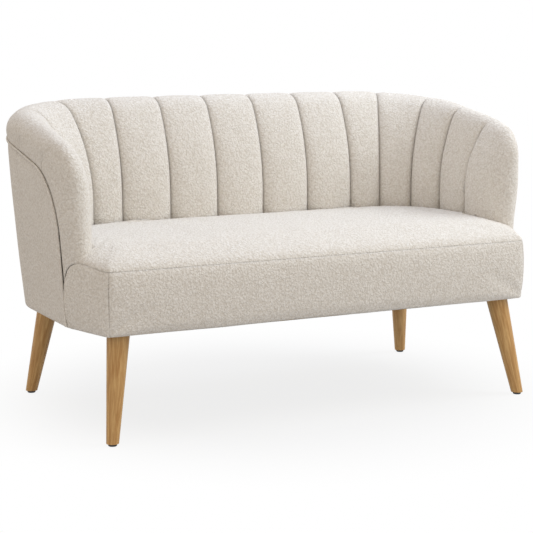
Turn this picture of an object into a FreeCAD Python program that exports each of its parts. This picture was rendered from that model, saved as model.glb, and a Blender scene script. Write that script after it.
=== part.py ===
import FreeCAD, Part
import math
import os
import types

# A curved two-seat sofa with a channelled wrap-round back, a tight seat and splayed legs.
# +X is to the right of someone sitting in front of it, +Y to the back, +Z up; the floor is z = 0.

V = FreeCAD.Vector

# Driving sizes in millimetres. Those named a lean, flare, fall, slope or share are plain ratios.
SIZES = {
    # Legs and feet
    "clear_height": 250,
    "foot_inset": 52,
    "front_foot_inset": 4,
    "rear_foot_inset": 7,
    "leg_lean_x": 0.152,
    "leg_lean_y": 0.202,
    "leg_top_radius": 27,
    "leg_foot_radius": 14.75,
    "glide_radius": 10.5,
    "glide_height": 6,
    "glide_pin_radius": 2,
    "glide_pin_length": 16,
    "bolt_radius": 4,
    "bolt_in_leg": 38,
    "nut_wall": 1,
    "nut_flange_radius": 11,
    "nut_flange": 1.5,
    "nut_length": 12,
    # Base frame
    "dust_cover": 1,
    "dust_margin": 1,
    "rail_height": 100,
    "rail_thickness": 22,
    "centre_rail_height": 80,
    "side_rail_setback": 5.5,
    "block_height": 45,
    "front_block_leg": 100,
    "front_block_end": 20,
    "rear_block_inner": 38,
    # Arm and back frame
    "panel_thickness": 15,
    "panel_setback": 15,
    "panel_front_drop": 36,
    "panel_corner": 60,
    "post_width": 40,
    "front_post_drop": 99,
    "rib_thickness": 22,
    "rib_foot": 38,
    "top_rail_depth": 66,
    "bow_clearance": 2.5,
    "bow_thickness": 22,
    "bow_depth": 46,
    "bow_lap": 52,
    # Seat support
    "webbing_width": 60,
    "webbing": 2,
    "webbing_margin": 18,
    "deck_felt": 4,
    "layer_gap": 0.3,
    # Outside form
    "base_half_width": 612,
    "base_back": 277,
    "base_corner": 165,
    "arm_seam_lead": 20,
    "arm_flare": 0.0725,
    "back_flare": 0.1,
    "corner_flare": 0.06,
    "cover_build": 11.5,
    "welt_drop": 62,
    "welt_fall": 0.2,
    "welt_radius": 2.5,
    "welt_front_bend": 160,
    "welt_gap": 1,
    # Inside form, measured in the seams between the channels
    "arm_depth": 62,
    "back_depth": 108,
    "seat_corner_growth": 35,
    "crest_inset": 6,
    "crest_overhang": 5,
    "crest_corner_growth": 30,
    "back_rise": 308,
    "crest_fall_lead": 81,
    "crest_fall_radius": 2730,
    "bend_rise": 52,
    "roll_share": 0.55,
    "corner_seam_lead": 15,
    "arm_seam_back": 157.16,
    "arm_seam_crest_back": 145.8,
    "channel_crown": 12,
    "crest_crown": 4,
    "pad_thickness": 14,
    "crest_padding": 44,
    "pad_tuck": 20,
    "hessian": 2,
    # Arm end pads
    "nose_front": 219,
    "nose_outer_depth": 54,
    "nose_inner_depth": 125,
    "nose_roll_outer": 86,
    "nose_roll_inner": 190,
    "nose_half": 36,
    "nose_shoulder": 90,
    "nose_slope": 0.23,
    "nose_lift": 2,
    "nose_drop": 55,
    # Seat
    "seat_lead": 97,
    "front_taper": 47,
    "seat_foam": 40.4,
    "seat_crown": 48,
    "border": 12,
    "border_bulge": 4.5,
    "border_edge": 8,
    "seat_gap": 2.5,
    "seat_nose_gap": 4.5,
    "seat_front_corner": 14,
    "seat_nose_reach": 18,
    "seat_nose_run": 70,
    "seat_side_ease": 80,
    "seat_side_round": 40,
    "plateau_setback_share": 0.342,
    "plateau_corner_x": 66,
    "plateau_corner_share": 0.186,
    "plateau_round": 20,
}

LONG_STRAPS = 8
CROSS_STRAPS = 3

# How finely the soft forms are divided
CHANNEL_STEPS = 6
NOSE_STEPS = 4
CROWN_SHARES = (0.04, 0.12, 0.28, 0.55, 1)

doc = FreeCAD.newDocument("curved_loveseat")
sheet = doc.addObject("Spreadsheet::Sheet", "sizes")
for row, (alias, value) in enumerate(SIZES.items(), start=1):
    sheet.set(f"A{row}", alias)
    sheet.set(f"B{row}", str(value))
    sheet.setAlias(f"B{row}", alias)
doc.recompute()
dim = types.SimpleNamespace(**{alias: float(sheet.get(alias)) for alias in SIZES})

# Heights, from the floor up
frame_bottom = dim.clear_height + dim.dust_cover
rail_top = frame_bottom + dim.rail_height
webbing_top = rail_top + 2 * dim.webbing
seam_height = webbing_top + dim.deck_felt + dim.seat_foam + 2 * dim.layer_gap
seat_height = seam_height + dim.seat_crown
bend_height = seat_height + dim.bend_rise
crest_height = seat_height + dim.back_rise
welt_height = crest_height - dim.welt_drop
pad_bottom = seam_height - dim.pad_tuck
nose_bottom_front = seam_height + dim.nose_lift
nose_bottom_rear = nose_bottom_front - dim.nose_drop

# Plan, from the outside of the base inward
seat_half_width = dim.base_half_width - dim.arm_depth
seat_back = dim.base_back - dim.back_depth
seat_corner = dim.base_corner + dim.seat_corner_growth
crest_half_width = dim.base_half_width - dim.crest_inset
crest_back = dim.base_back + dim.crest_overhang
crest_corner = dim.base_corner + dim.crest_corner_growth
front_half_width = dim.base_half_width - dim.front_taper
side_rail_half_x = front_half_width - dim.side_rail_setback
seat_front = dim.nose_front + dim.seat_lead
front_rail_y = dim.border - seat_front
corner_x = dim.base_half_width - dim.base_corner
corner_y = dim.base_back - dim.base_corner
arm_rear_y = corner_y - dim.arm_seam_lead
arm_lean = math.atan(dim.arm_flare)

# Straps from front to back, with the back's ribs between them
strap_pitch = (2 * (corner_x - dim.webbing_margin) - dim.webbing_width) / (LONG_STRAPS - 1)
inner_rib_x = strap_pitch
outer_rib_x = 3 * strap_pitch

# Feet
foot_half_x = dim.base_half_width - dim.foot_inset
front_foot_y = dim.front_foot_inset - seat_front
rear_foot_y = dim.base_back - dim.rear_foot_inset
feet_middle_y = (front_foot_y + rear_foot_y) / 2
nodes = []


# Flat outlines: closed loops of ("line", start, end) and ("arc", start, middle, end)

def rounded_loop(corners):
    """Edges of a polygon whose corners are (x, y) or (x, y, radius)."""
    points = [V(c[0], c[1]) for c in corners]
    radii = [c[2] if len(c) > 2 else 0 for c in corners]
    bends = []
    for i, point in enumerate(points):
        before = (points[i - 1] - point).normalize()
        after = (points[(i + 1) % len(points)] - point).normalize()
        if not radii[i]:
            bends.append((point, None, point))
            continue
        half = before.getAngle(after) / 2
        run = radii[i] / math.tan(half)
        middle = (before + after).normalize()
        middle = point + middle * (radii[i] / math.sin(half) - radii[i])
        bends.append((point + before * run, middle, point + after * run))
    edges = []
    for i, (start, middle, end) in enumerate(bends):
        if middle:
            edges.append(("arc", start, middle, end))
        edges.append(("line", end, bends[(i + 1) % len(bends)][0]))
    return edges


def both_sides(corners):
    """A loop's corners on the right, from front to back, joined to their mirror image."""
    left = [(-c[0], *c[1:]) for c in reversed(corners)]
    return list(corners) + left


def curve(edge):
    if edge[0] == "line":
        return Part.LineSegment(edge[1], edge[2])
    return Part.Arc(edge[1], edge[2], edge[3])


def wire(edges, place):
    """A wire from flat edges, each point taken to its place in space."""
    placed = [(edge[0], *[place(point) for point in edge[1:]]) for edge in edges]
    return Part.Wire([curve(edge).toShape() for edge in placed])


def at_height(height):
    return lambda point: V(point.x, point.y, height)


# Pieces of the document

def keep(obj):
    nodes.append(obj)
    return obj


def board(label, expressions):
    """A squared board whose sizes and place are bound to the sheet."""
    box = doc.addObject("Part::Box", label)
    for name, expression in expressions.items():
        box.setExpression(name, expression)
    return keep(box)


def outline_sketch(body, plane, loops, holes=()):
    sketch = body.newObject("Sketcher::SketchObject", body.Name + "_outline")
    origin = [f for f in body.Origin.OriginFeatures if f.Role == plane][0]
    sketch.AttachmentSupport = [(origin, "")]
    sketch.MapMode = "FlatFace"
    for loop in loops:
        for edge in loop:
            sketch.addGeometry(curve(edge))
    for x, y, radius in holes:
        sketch.addGeometry(Part.Circle(V(x, y), V(0, 0, 1), radius))
    return sketch


def slab(label, plane, edges, thickness, holes=(), midplane=False):
    """A body padded from one outline by a thickness bound to the sheet."""
    body = doc.addObject("PartDesign::Body", label)
    pad = body.newObject("PartDesign::Pad", label + "_pad")
    pad.Profile = outline_sketch(body, plane, [edges], holes)
    pad.setExpression("Length", thickness)
    pad.SideType = "Symmetric" if midplane else "One side"
    return keep(body)


def turned(label, corners):
    """A body turned about the Z axis from corners given as (radius, height)."""
    body = doc.addObject("PartDesign::Body", label)
    sketch = outline_sketch(body, "XZ_Plane", [rounded_loop(corners)])
    turn = body.newObject("PartDesign::Revolution", label + "_turn")
    turn.Profile = sketch
    turn.ReferenceAxis = (sketch, ["V_Axis"])
    turn.Angle = 360
    return body


def feature(label, shape):
    obj = doc.addObject("Part::Feature", label)
    obj.Shape = shape
    return keep(obj)


def mirrored(label, source, base=V(0, 0, 0), normal=V(1, 0, 0)):
    mirror = doc.addObject("Part::Mirroring", label)
    mirror.Source = source
    mirror.Base = base
    mirror.Normal = normal
    return mirror


def pair(name, right):
    """The left piece of a pair, mirrored from the right one."""
    return keep(mirrored(name + "_left", right))


def four_corners(name, front_right):
    """Copies of a piece at the other three corners, in the order FL, RR, RL."""
    middle = V(0, feet_middle_y, 0)
    front_left = mirrored(name + "_front_left", front_right)
    rear_right = mirrored(name + "_rear_right", front_right, middle, V(0, 1, 0))
    rear_left = mirrored(name + "_rear_left", rear_right)
    return [front_left, rear_right, rear_left]


def group(label, members):
    compound = doc.addObject("Part::Compound", label)
    compound.Links = members
    return keep(compound)


# Legs, glides and leg fixings

foot = V(foot_half_x, front_foot_y, 0)
leg_top = foot + V(-dim.leg_lean_x, dim.leg_lean_y, 1) * dim.clear_height


def make_legs():
    """Tapered splayed legs, cut level at both ends, each with a bolt hole and a glide pin hole."""
    axis = (leg_top - foot)
    cone = doc.addObject("Part::Cone", "leg_taper")
    slope = "(sizes.leg_top_radius - sizes.leg_foot_radius) / (sizes.clear_height - sizes.glide_height)"
    cone.setExpression("Radius1", f"sizes.leg_foot_radius - sizes.glide_height * {slope}")
    cone.setExpression("Radius2", f"sizes.leg_top_radius + sizes.glide_height * {slope}")
    stretch = axis.Length / dim.clear_height
    cone.Height = (dim.clear_height + dim.glide_height) * stretch
    cone.Placement = FreeCAD.Placement(foot, FreeCAD.Rotation(V(0, 0, 1), axis))
    level = doc.addObject("Part::Box", "leg_level")
    level.setExpression("Height", "sizes.clear_height - sizes.glide_height")
    span = 4 * dim.leg_top_radius + 2 * axis.Length
    level.Length = span
    level.Width = span
    level.Placement.Base = V(leg_top.x - span / 2, leg_top.y - span / 2, dim.glide_height)
    blank = doc.addObject("Part::Common", "leg_blank")
    blank.Base = cone
    blank.Tool = level
    holes = doc.addObject("Part::Compound", "leg_holes")
    bolt_hole = drilled("leg_bolt_hole", "bolt_radius", "bolt_in_leg")
    bolt_hole.Placement.Base = V(leg_top.x, leg_top.y, dim.clear_height - dim.bolt_in_leg)
    pin_hole = drilled("leg_pin_hole", "glide_pin_radius", "glide_pin_length")
    pin_hole.Placement.Base = V(*glide_middle(), dim.glide_height)
    holes.Links = [bolt_hole, pin_hole]
    leg = doc.addObject("Part::Cut", "leg_front_right")
    leg.Base = blank
    leg.Tool = holes
    for piece in [leg] + four_corners("leg", leg):
        keep(piece)


def drilled(label, radius, depth):
    hole = doc.addObject("Part::Cylinder", label)
    hole.setExpression("Radius", "sizes." + radius)
    hole.setExpression("Height", "sizes." + depth)
    return hole


def glide_middle():
    """Where the leg's axis meets the level of the glide's top."""
    share = dim.glide_height / dim.clear_height
    middle = foot + (leg_top - foot) * share
    return middle.x, middle.y


def make_leg_fixings():
    """Glides with a pin, hanger bolts and the T-nuts that take them."""
    pin_top = dim.glide_height + dim.glide_pin_length
    edge = dim.glide_height / 4
    glide = turned("glide_turned", [
        (0, 0), (dim.glide_radius - edge, 0), (dim.glide_radius, edge), (dim.glide_radius, dim.glide_height),
        (dim.glide_pin_radius, dim.glide_height), (dim.glide_pin_radius, pin_top), (0, pin_top)])
    glide.Placement.Base = V(*glide_middle(), 0)
    group("leg_glides", [glide] + four_corners("glide", glide))
    block_top = frame_bottom + dim.block_height
    low = dim.clear_height - dim.bolt_in_leg
    bolt = turned("bolt_turned", [(0, low), (dim.bolt_radius, low + 2 * dim.bolt_radius),
                                  (dim.bolt_radius, block_top), (0, block_top)])
    bolt.Placement.Base = V(leg_top.x, leg_top.y, 0)
    group("hanger_bolts", [bolt] + four_corners("bolt", bolt))
    outside = dim.bolt_radius + dim.nut_wall
    flange_top = block_top + dim.nut_flange
    nut = turned("nut_turned", [(dim.bolt_radius, block_top - dim.nut_length),
                                (outside, block_top - dim.nut_length), (outside, block_top),
                                (dim.nut_flange_radius, block_top), (dim.nut_flange_radius, flange_top),
                                (dim.bolt_radius, flange_top)])
    nut.Placement.Base = V(leg_top.x, leg_top.y, 0)
    group("t_nuts", [nut] + four_corners("nut", nut))


# Base frame

def make_rails():
    """Front, back, side and centre rails, butted on one level."""
    level = "sizes.clear_height + sizes.dust_cover"
    front = "(sizes.border - sizes.nose_front - sizes.seat_lead)"
    half_front = "(sizes.base_half_width - sizes.front_taper)"
    back = "(sizes.base_back - sizes.cover_build - sizes.rail_thickness)"
    board("front_rail", {
        "Length": f"2 * ({half_front} - sizes.border)",
        "Width": "sizes.rail_thickness",
        "Height": "sizes.rail_height",
        "Placement.Base.x": f"sizes.border - {half_front}",
        "Placement.Base.y": front,
        "Placement.Base.z": level})
    board("back_rail", {
        "Length": "2 * (sizes.base_half_width - sizes.base_corner)",
        "Width": "sizes.rail_thickness",
        "Height": "sizes.rail_height",
        "Placement.Base.x": "sizes.base_corner - sizes.base_half_width",
        "Placement.Base.y": back,
        "Placement.Base.z": level})
    side = board("side_rail_right", {
        "Length": "sizes.rail_thickness",
        "Width": f"sizes.base_back - sizes.base_corner - {front} - sizes.rail_thickness",
        "Height": "sizes.rail_height",
        "Placement.Base.x": f"{half_front} - sizes.side_rail_setback - sizes.rail_thickness",
        "Placement.Base.y": f"{front} + sizes.rail_thickness",
        "Placement.Base.z": level})
    pair("side_rail", side)
    board("centre_rail", {
        "Length": "sizes.rail_thickness",
        "Width": f"{back} - {front} - sizes.rail_thickness",
        "Height": "sizes.centre_rail_height",
        "Placement.Base.x": "-sizes.rail_thickness / 2",
        "Placement.Base.y": f"{front} + sizes.rail_thickness",
        "Placement.Base.z": level})


def make_corner_blocks():
    """Blocks glued into the four corners, which carry the leg bolts."""
    x = side_rail_half_x - dim.rail_thickness
    y = front_rail_y + dim.rail_thickness
    leg = dim.front_block_leg
    end = dim.front_block_end
    hole = dim.bolt_radius + dim.nut_wall
    front = slab("front_corner_block_right", "XY_Plane", rounded_loop(
        [(x, y), (x, y + leg), (x - end, y + leg), (x - leg, y + end), (x - leg, y)]),
        "sizes.block_height", [(leg_top.x, leg_top.y, hole)])
    front.Placement.Base = V(0, 0, frame_bottom)
    pair("front_corner_block", front)
    radius = dim.base_corner - dim.cover_build
    tip = V(corner_x, corner_y + radius)
    side = V(corner_x + radius, corner_y)
    middle = V(corner_x, corner_y) + V(1, 1).normalize() * radius
    inner = V(corner_x, tip.y - dim.rail_thickness - dim.rear_block_inner)
    rear_bolt = (leg_top.x, 2 * feet_middle_y - leg_top.y, hole)
    rear = slab("rear_corner_block_right", "XY_Plane", [
        ("arc", side, middle, tip), ("line", tip, inner), ("line", inner, V(x, corner_y)),
        ("line", V(x, corner_y), side)], "sizes.block_height", [rear_bolt])
    rear.Placement.Base = V(0, 0, frame_bottom)
    pair("rear_corner_block", rear)


# Paths in plan: rounded U shapes given as (half width, back, corner radius)

seat_path = (seat_half_width, seat_back, seat_corner)
crest_path = (crest_half_width, crest_back, crest_corner)


def path_length(path, y):
    """Length of a path from the middle of the back to a place on its straight arm."""
    half, back, radius = path
    return half - radius + radius * math.pi / 2 + back - radius - y


# Channel widths: five alike across the back, four round each corner to the arm seam
channel_width = (seat_half_width - seat_corner - dim.corner_seam_lead) / 2.5
arm_seam = path_length(seat_path, dim.arm_seam_back - dim.nose_front)
corner_channel_width = (arm_seam - 2.5 * channel_width) / 4
crest_channel_width = path_length(crest_path, dim.arm_seam_crest_back - dim.nose_front) / 6.5
crest_flat = crest_half_width - crest_corner - dim.crest_fall_lead


def outside_path(height, inset=0):
    """The outside of the arms and back in plan at a height, moved inward by an inset."""
    rise = height - dim.clear_height
    return (dim.base_half_width + dim.arm_flare * rise - inset,
            dim.base_back + dim.back_flare * rise - inset,
            dim.base_corner + dim.corner_flare * rise - inset)


def along(path, distance):
    """The point on a path at a distance from the middle of the back, to the right."""
    half, back, radius = path
    straight = half - radius
    arc = radius * math.pi / 2
    if distance <= straight:
        return V(distance, back)
    if distance <= straight + arc:
        turn = (distance - straight) / radius
        return V(straight + radius * math.sin(turn), back - radius + radius * math.cos(turn))
    return V(half, back - radius - (distance - straight - arc))


def reach(path, start, direction):
    """How far a path lies from a point inside it, along a direction to the back or the right."""
    half, back, radius = path
    centre = V(half - radius, back - radius)
    if direction.y > 0:
        run = (back - start.y) / direction.y
        if start.x + direction.x * run <= centre.x:
            return run
    run = (half - start.x) / direction.x
    if start.y + direction.y * run <= centre.y:
        return run
    offset = start - centre
    middle = offset.dot(direction)
    return math.sqrt(middle ** 2 - offset.Length ** 2 + radius ** 2) - middle


def outside_band(height):
    """The outside cover in plan behind the arm seams: a U shape with its own thickness."""
    outer_half, outer_back, outer_radius = outside_path(height)
    inner_half, inner_back, inner_radius = outside_path(height, dim.cover_build)
    outer = both_sides([(outer_half, arm_rear_y), (outer_half, outer_back, outer_radius)])
    inner = both_sides([(inner_half, arm_rear_y), (inner_half, inner_back, inner_radius)])
    return outer + list(reversed(inner))


# The cross-section of the padded back, seen along the wall

class Section:
    """The padded wall cut upright where it meets the seat and the crest at given distances."""

    def __init__(self, seat_distance, crest_distance):
        self.base = along(seat_path, seat_distance)
        crest = along(crest_path, crest_distance)
        self.across = (crest - self.base).normalize()
        self.depth = (crest - self.base).Length
        self.top = crest_top(crest_distance)
        self.shelf = self.top - dim.crest_padding
        self.crest = crest

    def place(self, point):
        return self.base + self.across * point.x + V(0, 0, point.y)

    def outside(self, height):
        return self.depth + reach(outside_path(height), self.crest, self.across)

    def welt(self):
        """Height of the welt on this section, on a plane that falls to the front."""
        point = self.base + self.across * self.outside(welt_height)
        back = outside_path(welt_height)[1]
        return welt_height - dim.welt_fall * (back - point.y)

    def face_radius(self, depth, rise, roll):
        """Radius of the long arc that leaves the upright face and runs into the roll."""
        return (depth ** 2 + (rise - roll) ** 2 - roll ** 2) / (2 * (depth - roll))

    def face_point(self, offset, height):
        """A point on the face as it is in a seam, moved into the wall by an offset."""
        roll = dim.roll_share * self.depth
        radius = self.face_radius(self.depth, self.top - bend_height, roll)
        rise = max(0, height - bend_height)
        return V(radius - math.sqrt((radius - offset) ** 2 - rise ** 2), height)

    def face_edges(self, offset, low, high):
        """The face between two heights: an upright line and the start of the long arc."""
        bend = self.face_point(offset, bend_height)
        middle = self.face_point(offset, (bend_height + high) / 2)
        return [("line", self.face_point(offset, low), bend),
                ("arc", bend, middle, self.face_point(offset, high))]

    def pad_edges(self, crown):
        """The pad from the seat over the roll to the welt, with its crown from 0 to 1."""
        front = -dim.channel_crown * crown
        top = self.top + dim.crest_crown * crown
        depth = self.depth - front
        roll = dim.roll_share * depth
        radius = self.face_radius(depth, top - bend_height, roll)
        turn = math.asin((top - bend_height - roll) / (radius - roll))
        centre = V(front + radius, bend_height)
        roll_centre = V(self.depth, top - roll)
        rear = self.outside(top - dim.crest_padding) - self.depth
        rear_centre = V(self.depth, top - rear)
        welt = self.welt() + dim.welt_gap
        outside = self.outside(welt)
        inside = self.outside(self.shelf) - dim.cover_build
        corners = [
            polar(centre, radius, 0),
            polar(centre, radius, turn),
            V(self.depth, top),
            rear_centre + V(rear, 0),
            V(outside, welt),
            V(outside - dim.cover_build, welt),
            V(inside, self.shelf),
            self.face_point(dim.pad_thickness, self.shelf),
        ]
        arcs = {
            0: polar(centre, radius, turn / 2),
            1: polar(roll_centre, roll, (turn + math.pi / 2) / 2),
            2: polar(rear_centre, rear, 3 * math.pi / 4),
        }
        edges = [("line", V(front, pad_bottom), corners[0])]
        for i in range(len(corners) - 1):
            edges.append(("arc", corners[i], arcs[i], corners[i + 1]) if i in arcs
                         else ("line", corners[i], corners[i + 1]))
        under = self.face_edges(dim.pad_thickness, pad_bottom, self.shelf)
        edges += [(edge[0], *reversed(edge[1:])) for edge in reversed(under)]
        edges.append(("line", V(dim.pad_thickness, pad_bottom), V(front, pad_bottom)))
        return edges


def polar(centre, radius, turn):
    """A point on an arc about a centre, with the turn taken up from the front."""
    return centre + V(-radius * math.cos(turn), radius * math.sin(turn))


def crest_top(distance):
    """Height of the crest at a distance along it: level across the back, then falling to the arms."""
    return crest_height - max(0, distance - crest_flat) ** 2 / (2 * dim.crest_fall_radius)


def seam(index):
    """Distances of a channel seam at the seat and at the crest; index 0 is the middle of the back."""
    plain = min(index, 3)
    seat_distance = channel_width * max(0, plain - 0.5) + corner_channel_width * max(0, index - 3)
    return seat_distance, crest_channel_width * max(0, index - 0.5)


def between(start, end, share):
    return tuple(a + (b - a) * share for a, b in zip(start, end))


def channel_wires(start, end):
    wires = []
    for step in range(CHANNEL_STEPS + 1):
        share = step / CHANNEL_STEPS
        section = Section(*between(start, end, share))
        wires.append(wire(section.pad_edges(4 * share * (1 - share)), section.place))
    return wires


def mirror_wire(shape):
    return Part.Wire(shape.mirror(V(0, 0, 0), V(1, 0, 0)).Edges)


def make_channels():
    """Thirteen padded channels: one across the middle and six on each side."""
    halves = []
    for step in range(CHANNEL_STEPS // 2 + 1):
        share = 2 * step / CHANNEL_STEPS
        section = Section(*between((0, 0), seam(1), share))
        halves.append(wire(section.pad_edges(1 - share ** 2), section.place))
    middle = [mirror_wire(half) for half in reversed(halves[1:])] + halves
    feature("back_channel_middle", Part.makeLoft(middle, True, True))
    for index in range(1, 7):
        label = f"back_channel_{index}"
        loft = Part.makeLoft(channel_wires(seam(index), seam(index + 1)), True, True)
        pair(label, feature(label + "_right", loft))


def make_hessian():
    """Hessian stretched inside the frame, behind all the channels."""
    outer = dim.pad_thickness + dim.layer_gap
    inner = outer + dim.hessian
    low = webbing_top + dim.deck_felt + 2 * dim.layer_gap
    stations = [between((0, 0), seam(1), 2 * step / CHANNEL_STEPS) for step in range(CHANNEL_STEPS // 2)]
    for index in range(1, 7):
        stations += [between(seam(index), seam(index + 1), step / CHANNEL_STEPS)
                     for step in range(CHANNEL_STEPS)]
    wires = []
    for station in stations + [seam(7)]:
        section = Section(*station)
        high = section.shelf - dim.bow_thickness
        front = section.face_edges(outer, low, high)
        rear = section.face_edges(inner, low, high)
        edges = front + [("line", front[-1][-1], rear[-1][-1])]
        edges += [(edge[0], *reversed(edge[1:])) for edge in reversed(rear)]
        edges.append(("line", rear[0][1], front[0][1]))
        wires.append(wire(edges, section.place))
    left = [mirror_wire(shape) for shape in reversed(wires[1:])]
    feature("inside_hessian", Part.makeLoft(left + wires, True, True))


# Arm and back frame

bow_end_y = arm_rear_y - dim.post_width
bow_top = crest_top(path_length(crest_path, bow_end_y)) - dim.crest_padding - dim.bow_clearance
bow_height = bow_top - dim.bow_thickness


def on_arm(inset):
    """Placement of an upright slab that leans with the arm, its inner face set in from the outside."""
    turn = FreeCAD.Rotation(V(0, 1, 0), math.degrees(arm_lean))
    base = V(dim.base_half_width, 0, dim.clear_height) - turn.multVec(V(inset, 0, 0))
    return FreeCAD.Placement(base, turn)


def up_arm(height, inset=0):
    """Height measured up the leaning arm, for a face set in from the outside."""
    return (height - dim.clear_height - inset * math.sin(arm_lean)) / math.cos(arm_lean)


def welt_at(y):
    return welt_height - dim.welt_fall * (outside_path(welt_height)[1] - y)


welt_front_y = dim.nose_outer_depth - dim.nose_front
panel_front_y = welt_front_y + dim.panel_setback


def make_arm_frame():
    """A plywood panel and two posts in each arm."""
    front = panel_front_y
    inner = dim.cover_build + dim.panel_thickness
    low = up_arm(frame_bottom, dim.cover_build)
    panel = slab("arm_panel_right", "YZ_Plane", rounded_loop([
        (front, low), (arm_rear_y, low), (arm_rear_y, up_arm(bow_height, inner)),
        (front, up_arm(bow_height - dim.panel_front_drop, inner), dim.panel_corner)]),
        "sizes.panel_thickness")
    panel.Placement = on_arm(inner)
    pair("arm_panel", panel)
    post_top = bow_height - dim.front_post_drop
    front_post = arm_post("arm_post_front_right", post_top, front + dim.post_width)
    pair("arm_post_front", front_post)
    rear_post = arm_post("arm_post_rear_right", bow_height, arm_rear_y)
    pair("arm_post_rear", rear_post)
    return panel, front_post


def arm_post(label, top, rear_y):
    """A post between the side rail and the panel; its inner face stays behind the padding."""
    def panel_face(height):
        across = (dim.cover_build + dim.panel_thickness) / math.cos(arm_lean)
        return outside_path(height)[0] - across
    lining = dim.pad_thickness + 2 * dim.layer_gap + dim.hessian
    arm = Section(*seam(7))
    inner = seat_half_width + lining
    top_inner = seat_half_width + arm.face_point(lining, min(top, arm.shelf)).x
    post = slab(label, "XZ_Plane", rounded_loop([
        (side_rail_half_x, frame_bottom), (panel_face(frame_bottom), frame_bottom),
        (panel_face(top), top), (top_inner, top), (inner, bend_height),
        (inner, rail_top + inner - side_rail_half_x), (side_rail_half_x, rail_top)]),
        "sizes.post_width")
    post.Placement.Base = V(0, rear_y, 0)
    return post


def make_back_frame():
    """Ribs with the curve of the back, the top rail over them and a bow round each rear corner."""
    back = Section(0, 0)
    lining = dim.pad_thickness + 2 * dim.layer_gap + dim.hessian
    rail_inner = dim.base_back - dim.cover_build - dim.rail_thickness

    def outer(height):
        return V(outside_path(height, dim.cover_build)[1], height)
    front = [V(seat_back + p.x, p.y) for p in (
        back.face_point(lining, rail_top), back.face_point(lining, bend_height),
        back.face_point(lining, (bend_height + bow_top) / 2), back.face_point(lining, bow_top))]
    corners = [V(rail_inner - dim.rib_foot, frame_bottom), V(rail_inner, frame_bottom),
               V(rail_inner, rail_top), outer(rail_top), outer(bow_top), front[3]]
    edges = [("line", a, b) for a, b in zip(corners, corners[1:])]
    edges += [("arc", front[3], front[2], front[1]), ("line", front[1], front[0]),
              ("line", front[0], corners[0])]
    for name, x in (("inner", inner_rib_x), ("outer", outer_rib_x)):
        rib = slab(f"back_rib_{name}_right", "YZ_Plane", edges, "sizes.rib_thickness", midplane=True)
        rib.Placement.Base = V(x, 0, 0)
        pair(f"back_rib_{name}", rib)
    half, back_y, radius = outside_path(bow_height, dim.cover_build)
    straight = half - radius
    board_back = outside_path(bow_top, dim.cover_build)[1]
    rail = slab("top_rail", "XY_Plane", rounded_loop(both_sides(
        [(straight, board_back - dim.top_rail_depth), (straight, board_back)])), "sizes.bow_thickness")
    rail.Placement.Base = V(0, 0, bow_top)
    inner = radius - dim.bow_depth
    tang_x = straight - dim.bow_lap
    bow = slab("top_corner_bow_right", "XY_Plane", rounded_loop([
        (half, bow_end_y), (half, back_y, radius), (tang_x, back_y), (tang_x, back_y - dim.bow_depth),
        (straight + inner, back_y - dim.bow_depth, inner), (straight + inner, bow_end_y)]),
        "sizes.bow_thickness")
    bow.Placement.Base = V(0, 0, bow_height)
    pair("top_corner_bow", bow)


# Outside covers, welt and arm end pads

def make_outside_covers():
    """Padded outside covers: one for each arm and one round the back and both rear corners."""
    rise = up_arm(welt_at(welt_front_y))
    arm = slab("outside_arm_right", "YZ_Plane", rounded_loop([
        (welt_front_y, 0), (arm_rear_y, 0), (arm_rear_y, up_arm(welt_at(arm_rear_y))),
        (welt_front_y, rise, dim.welt_front_bend)]), "sizes.cover_build")
    arm.Placement = on_arm(dim.cover_build)
    pair("outside_arm", arm)
    ends = []
    for height in (dim.clear_height, crest_height):
        ends.append(wire(rounded_loop(outside_band(height)), at_height(height)))
    shell = Part.makeLoft(ends, True, True)
    wide = 2 * crest_half_width
    above = Part.makeBox(2 * wide, 2 * wide, wide, V(-wide, -wide, 0))
    tilt = FreeCAD.Rotation(V(1, 0, 0), math.degrees(math.atan(dim.welt_fall)))
    above.Placement = FreeCAD.Placement(V(0, 0, welt_at(0)), tilt).multiply(above.Placement)
    feature("outside_back", shell.cut(above).Solids[0])
    return arm


def make_welt():
    """A round cord along the edge of the outside covers, up both arms and round the back."""
    out = dim.welt_radius + dim.layer_gap

    def outside_point(y, height):
        return V(outside_path(height)[0] + out, y, height)
    rear_y = outside_path(welt_height)[1] + out
    corners = [outside_point(welt_front_y, dim.clear_height + dim.welt_radius),
               outside_point(welt_front_y, welt_at(welt_front_y)),
               outside_point(rear_y, welt_at(rear_y))]
    radii = [0, dim.welt_front_bend, outside_path(welt_height)[2]]
    points = corners + [V(-p.x, p.y, p.z) for p in reversed(corners)]
    radii = radii + list(reversed(radii))
    spine = bent_wire(points, radii)
    ring = Part.Face(Part.Wire(Part.makeCircle(dim.welt_radius, points[0], points[1] - points[0])))
    feature("outside_welt", spine.makePipe(ring))


def bent_wire(points, radii):
    """Straight runs between points in space, joined by tangent arcs of the given radii."""
    edges = []
    last = points[0]
    for before, point, after, radius in zip(points, points[1:], points[2:], radii[1:]):
        back = (before - point).normalize()
        on = (after - point).normalize()
        half = back.getAngle(on) / 2
        run = radius / math.tan(half)
        middle = point + (back + on).normalize() * (radius / math.sin(half) - radius)
        edges.append(Part.LineSegment(last, point + back * run).toShape())
        last = point + on * run
        edges.append(Part.Arc(point + back * run, middle, last).toShape())
    edges.append(Part.LineSegment(last, points[-1]).toShape())
    return Part.Wire(edges)


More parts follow.
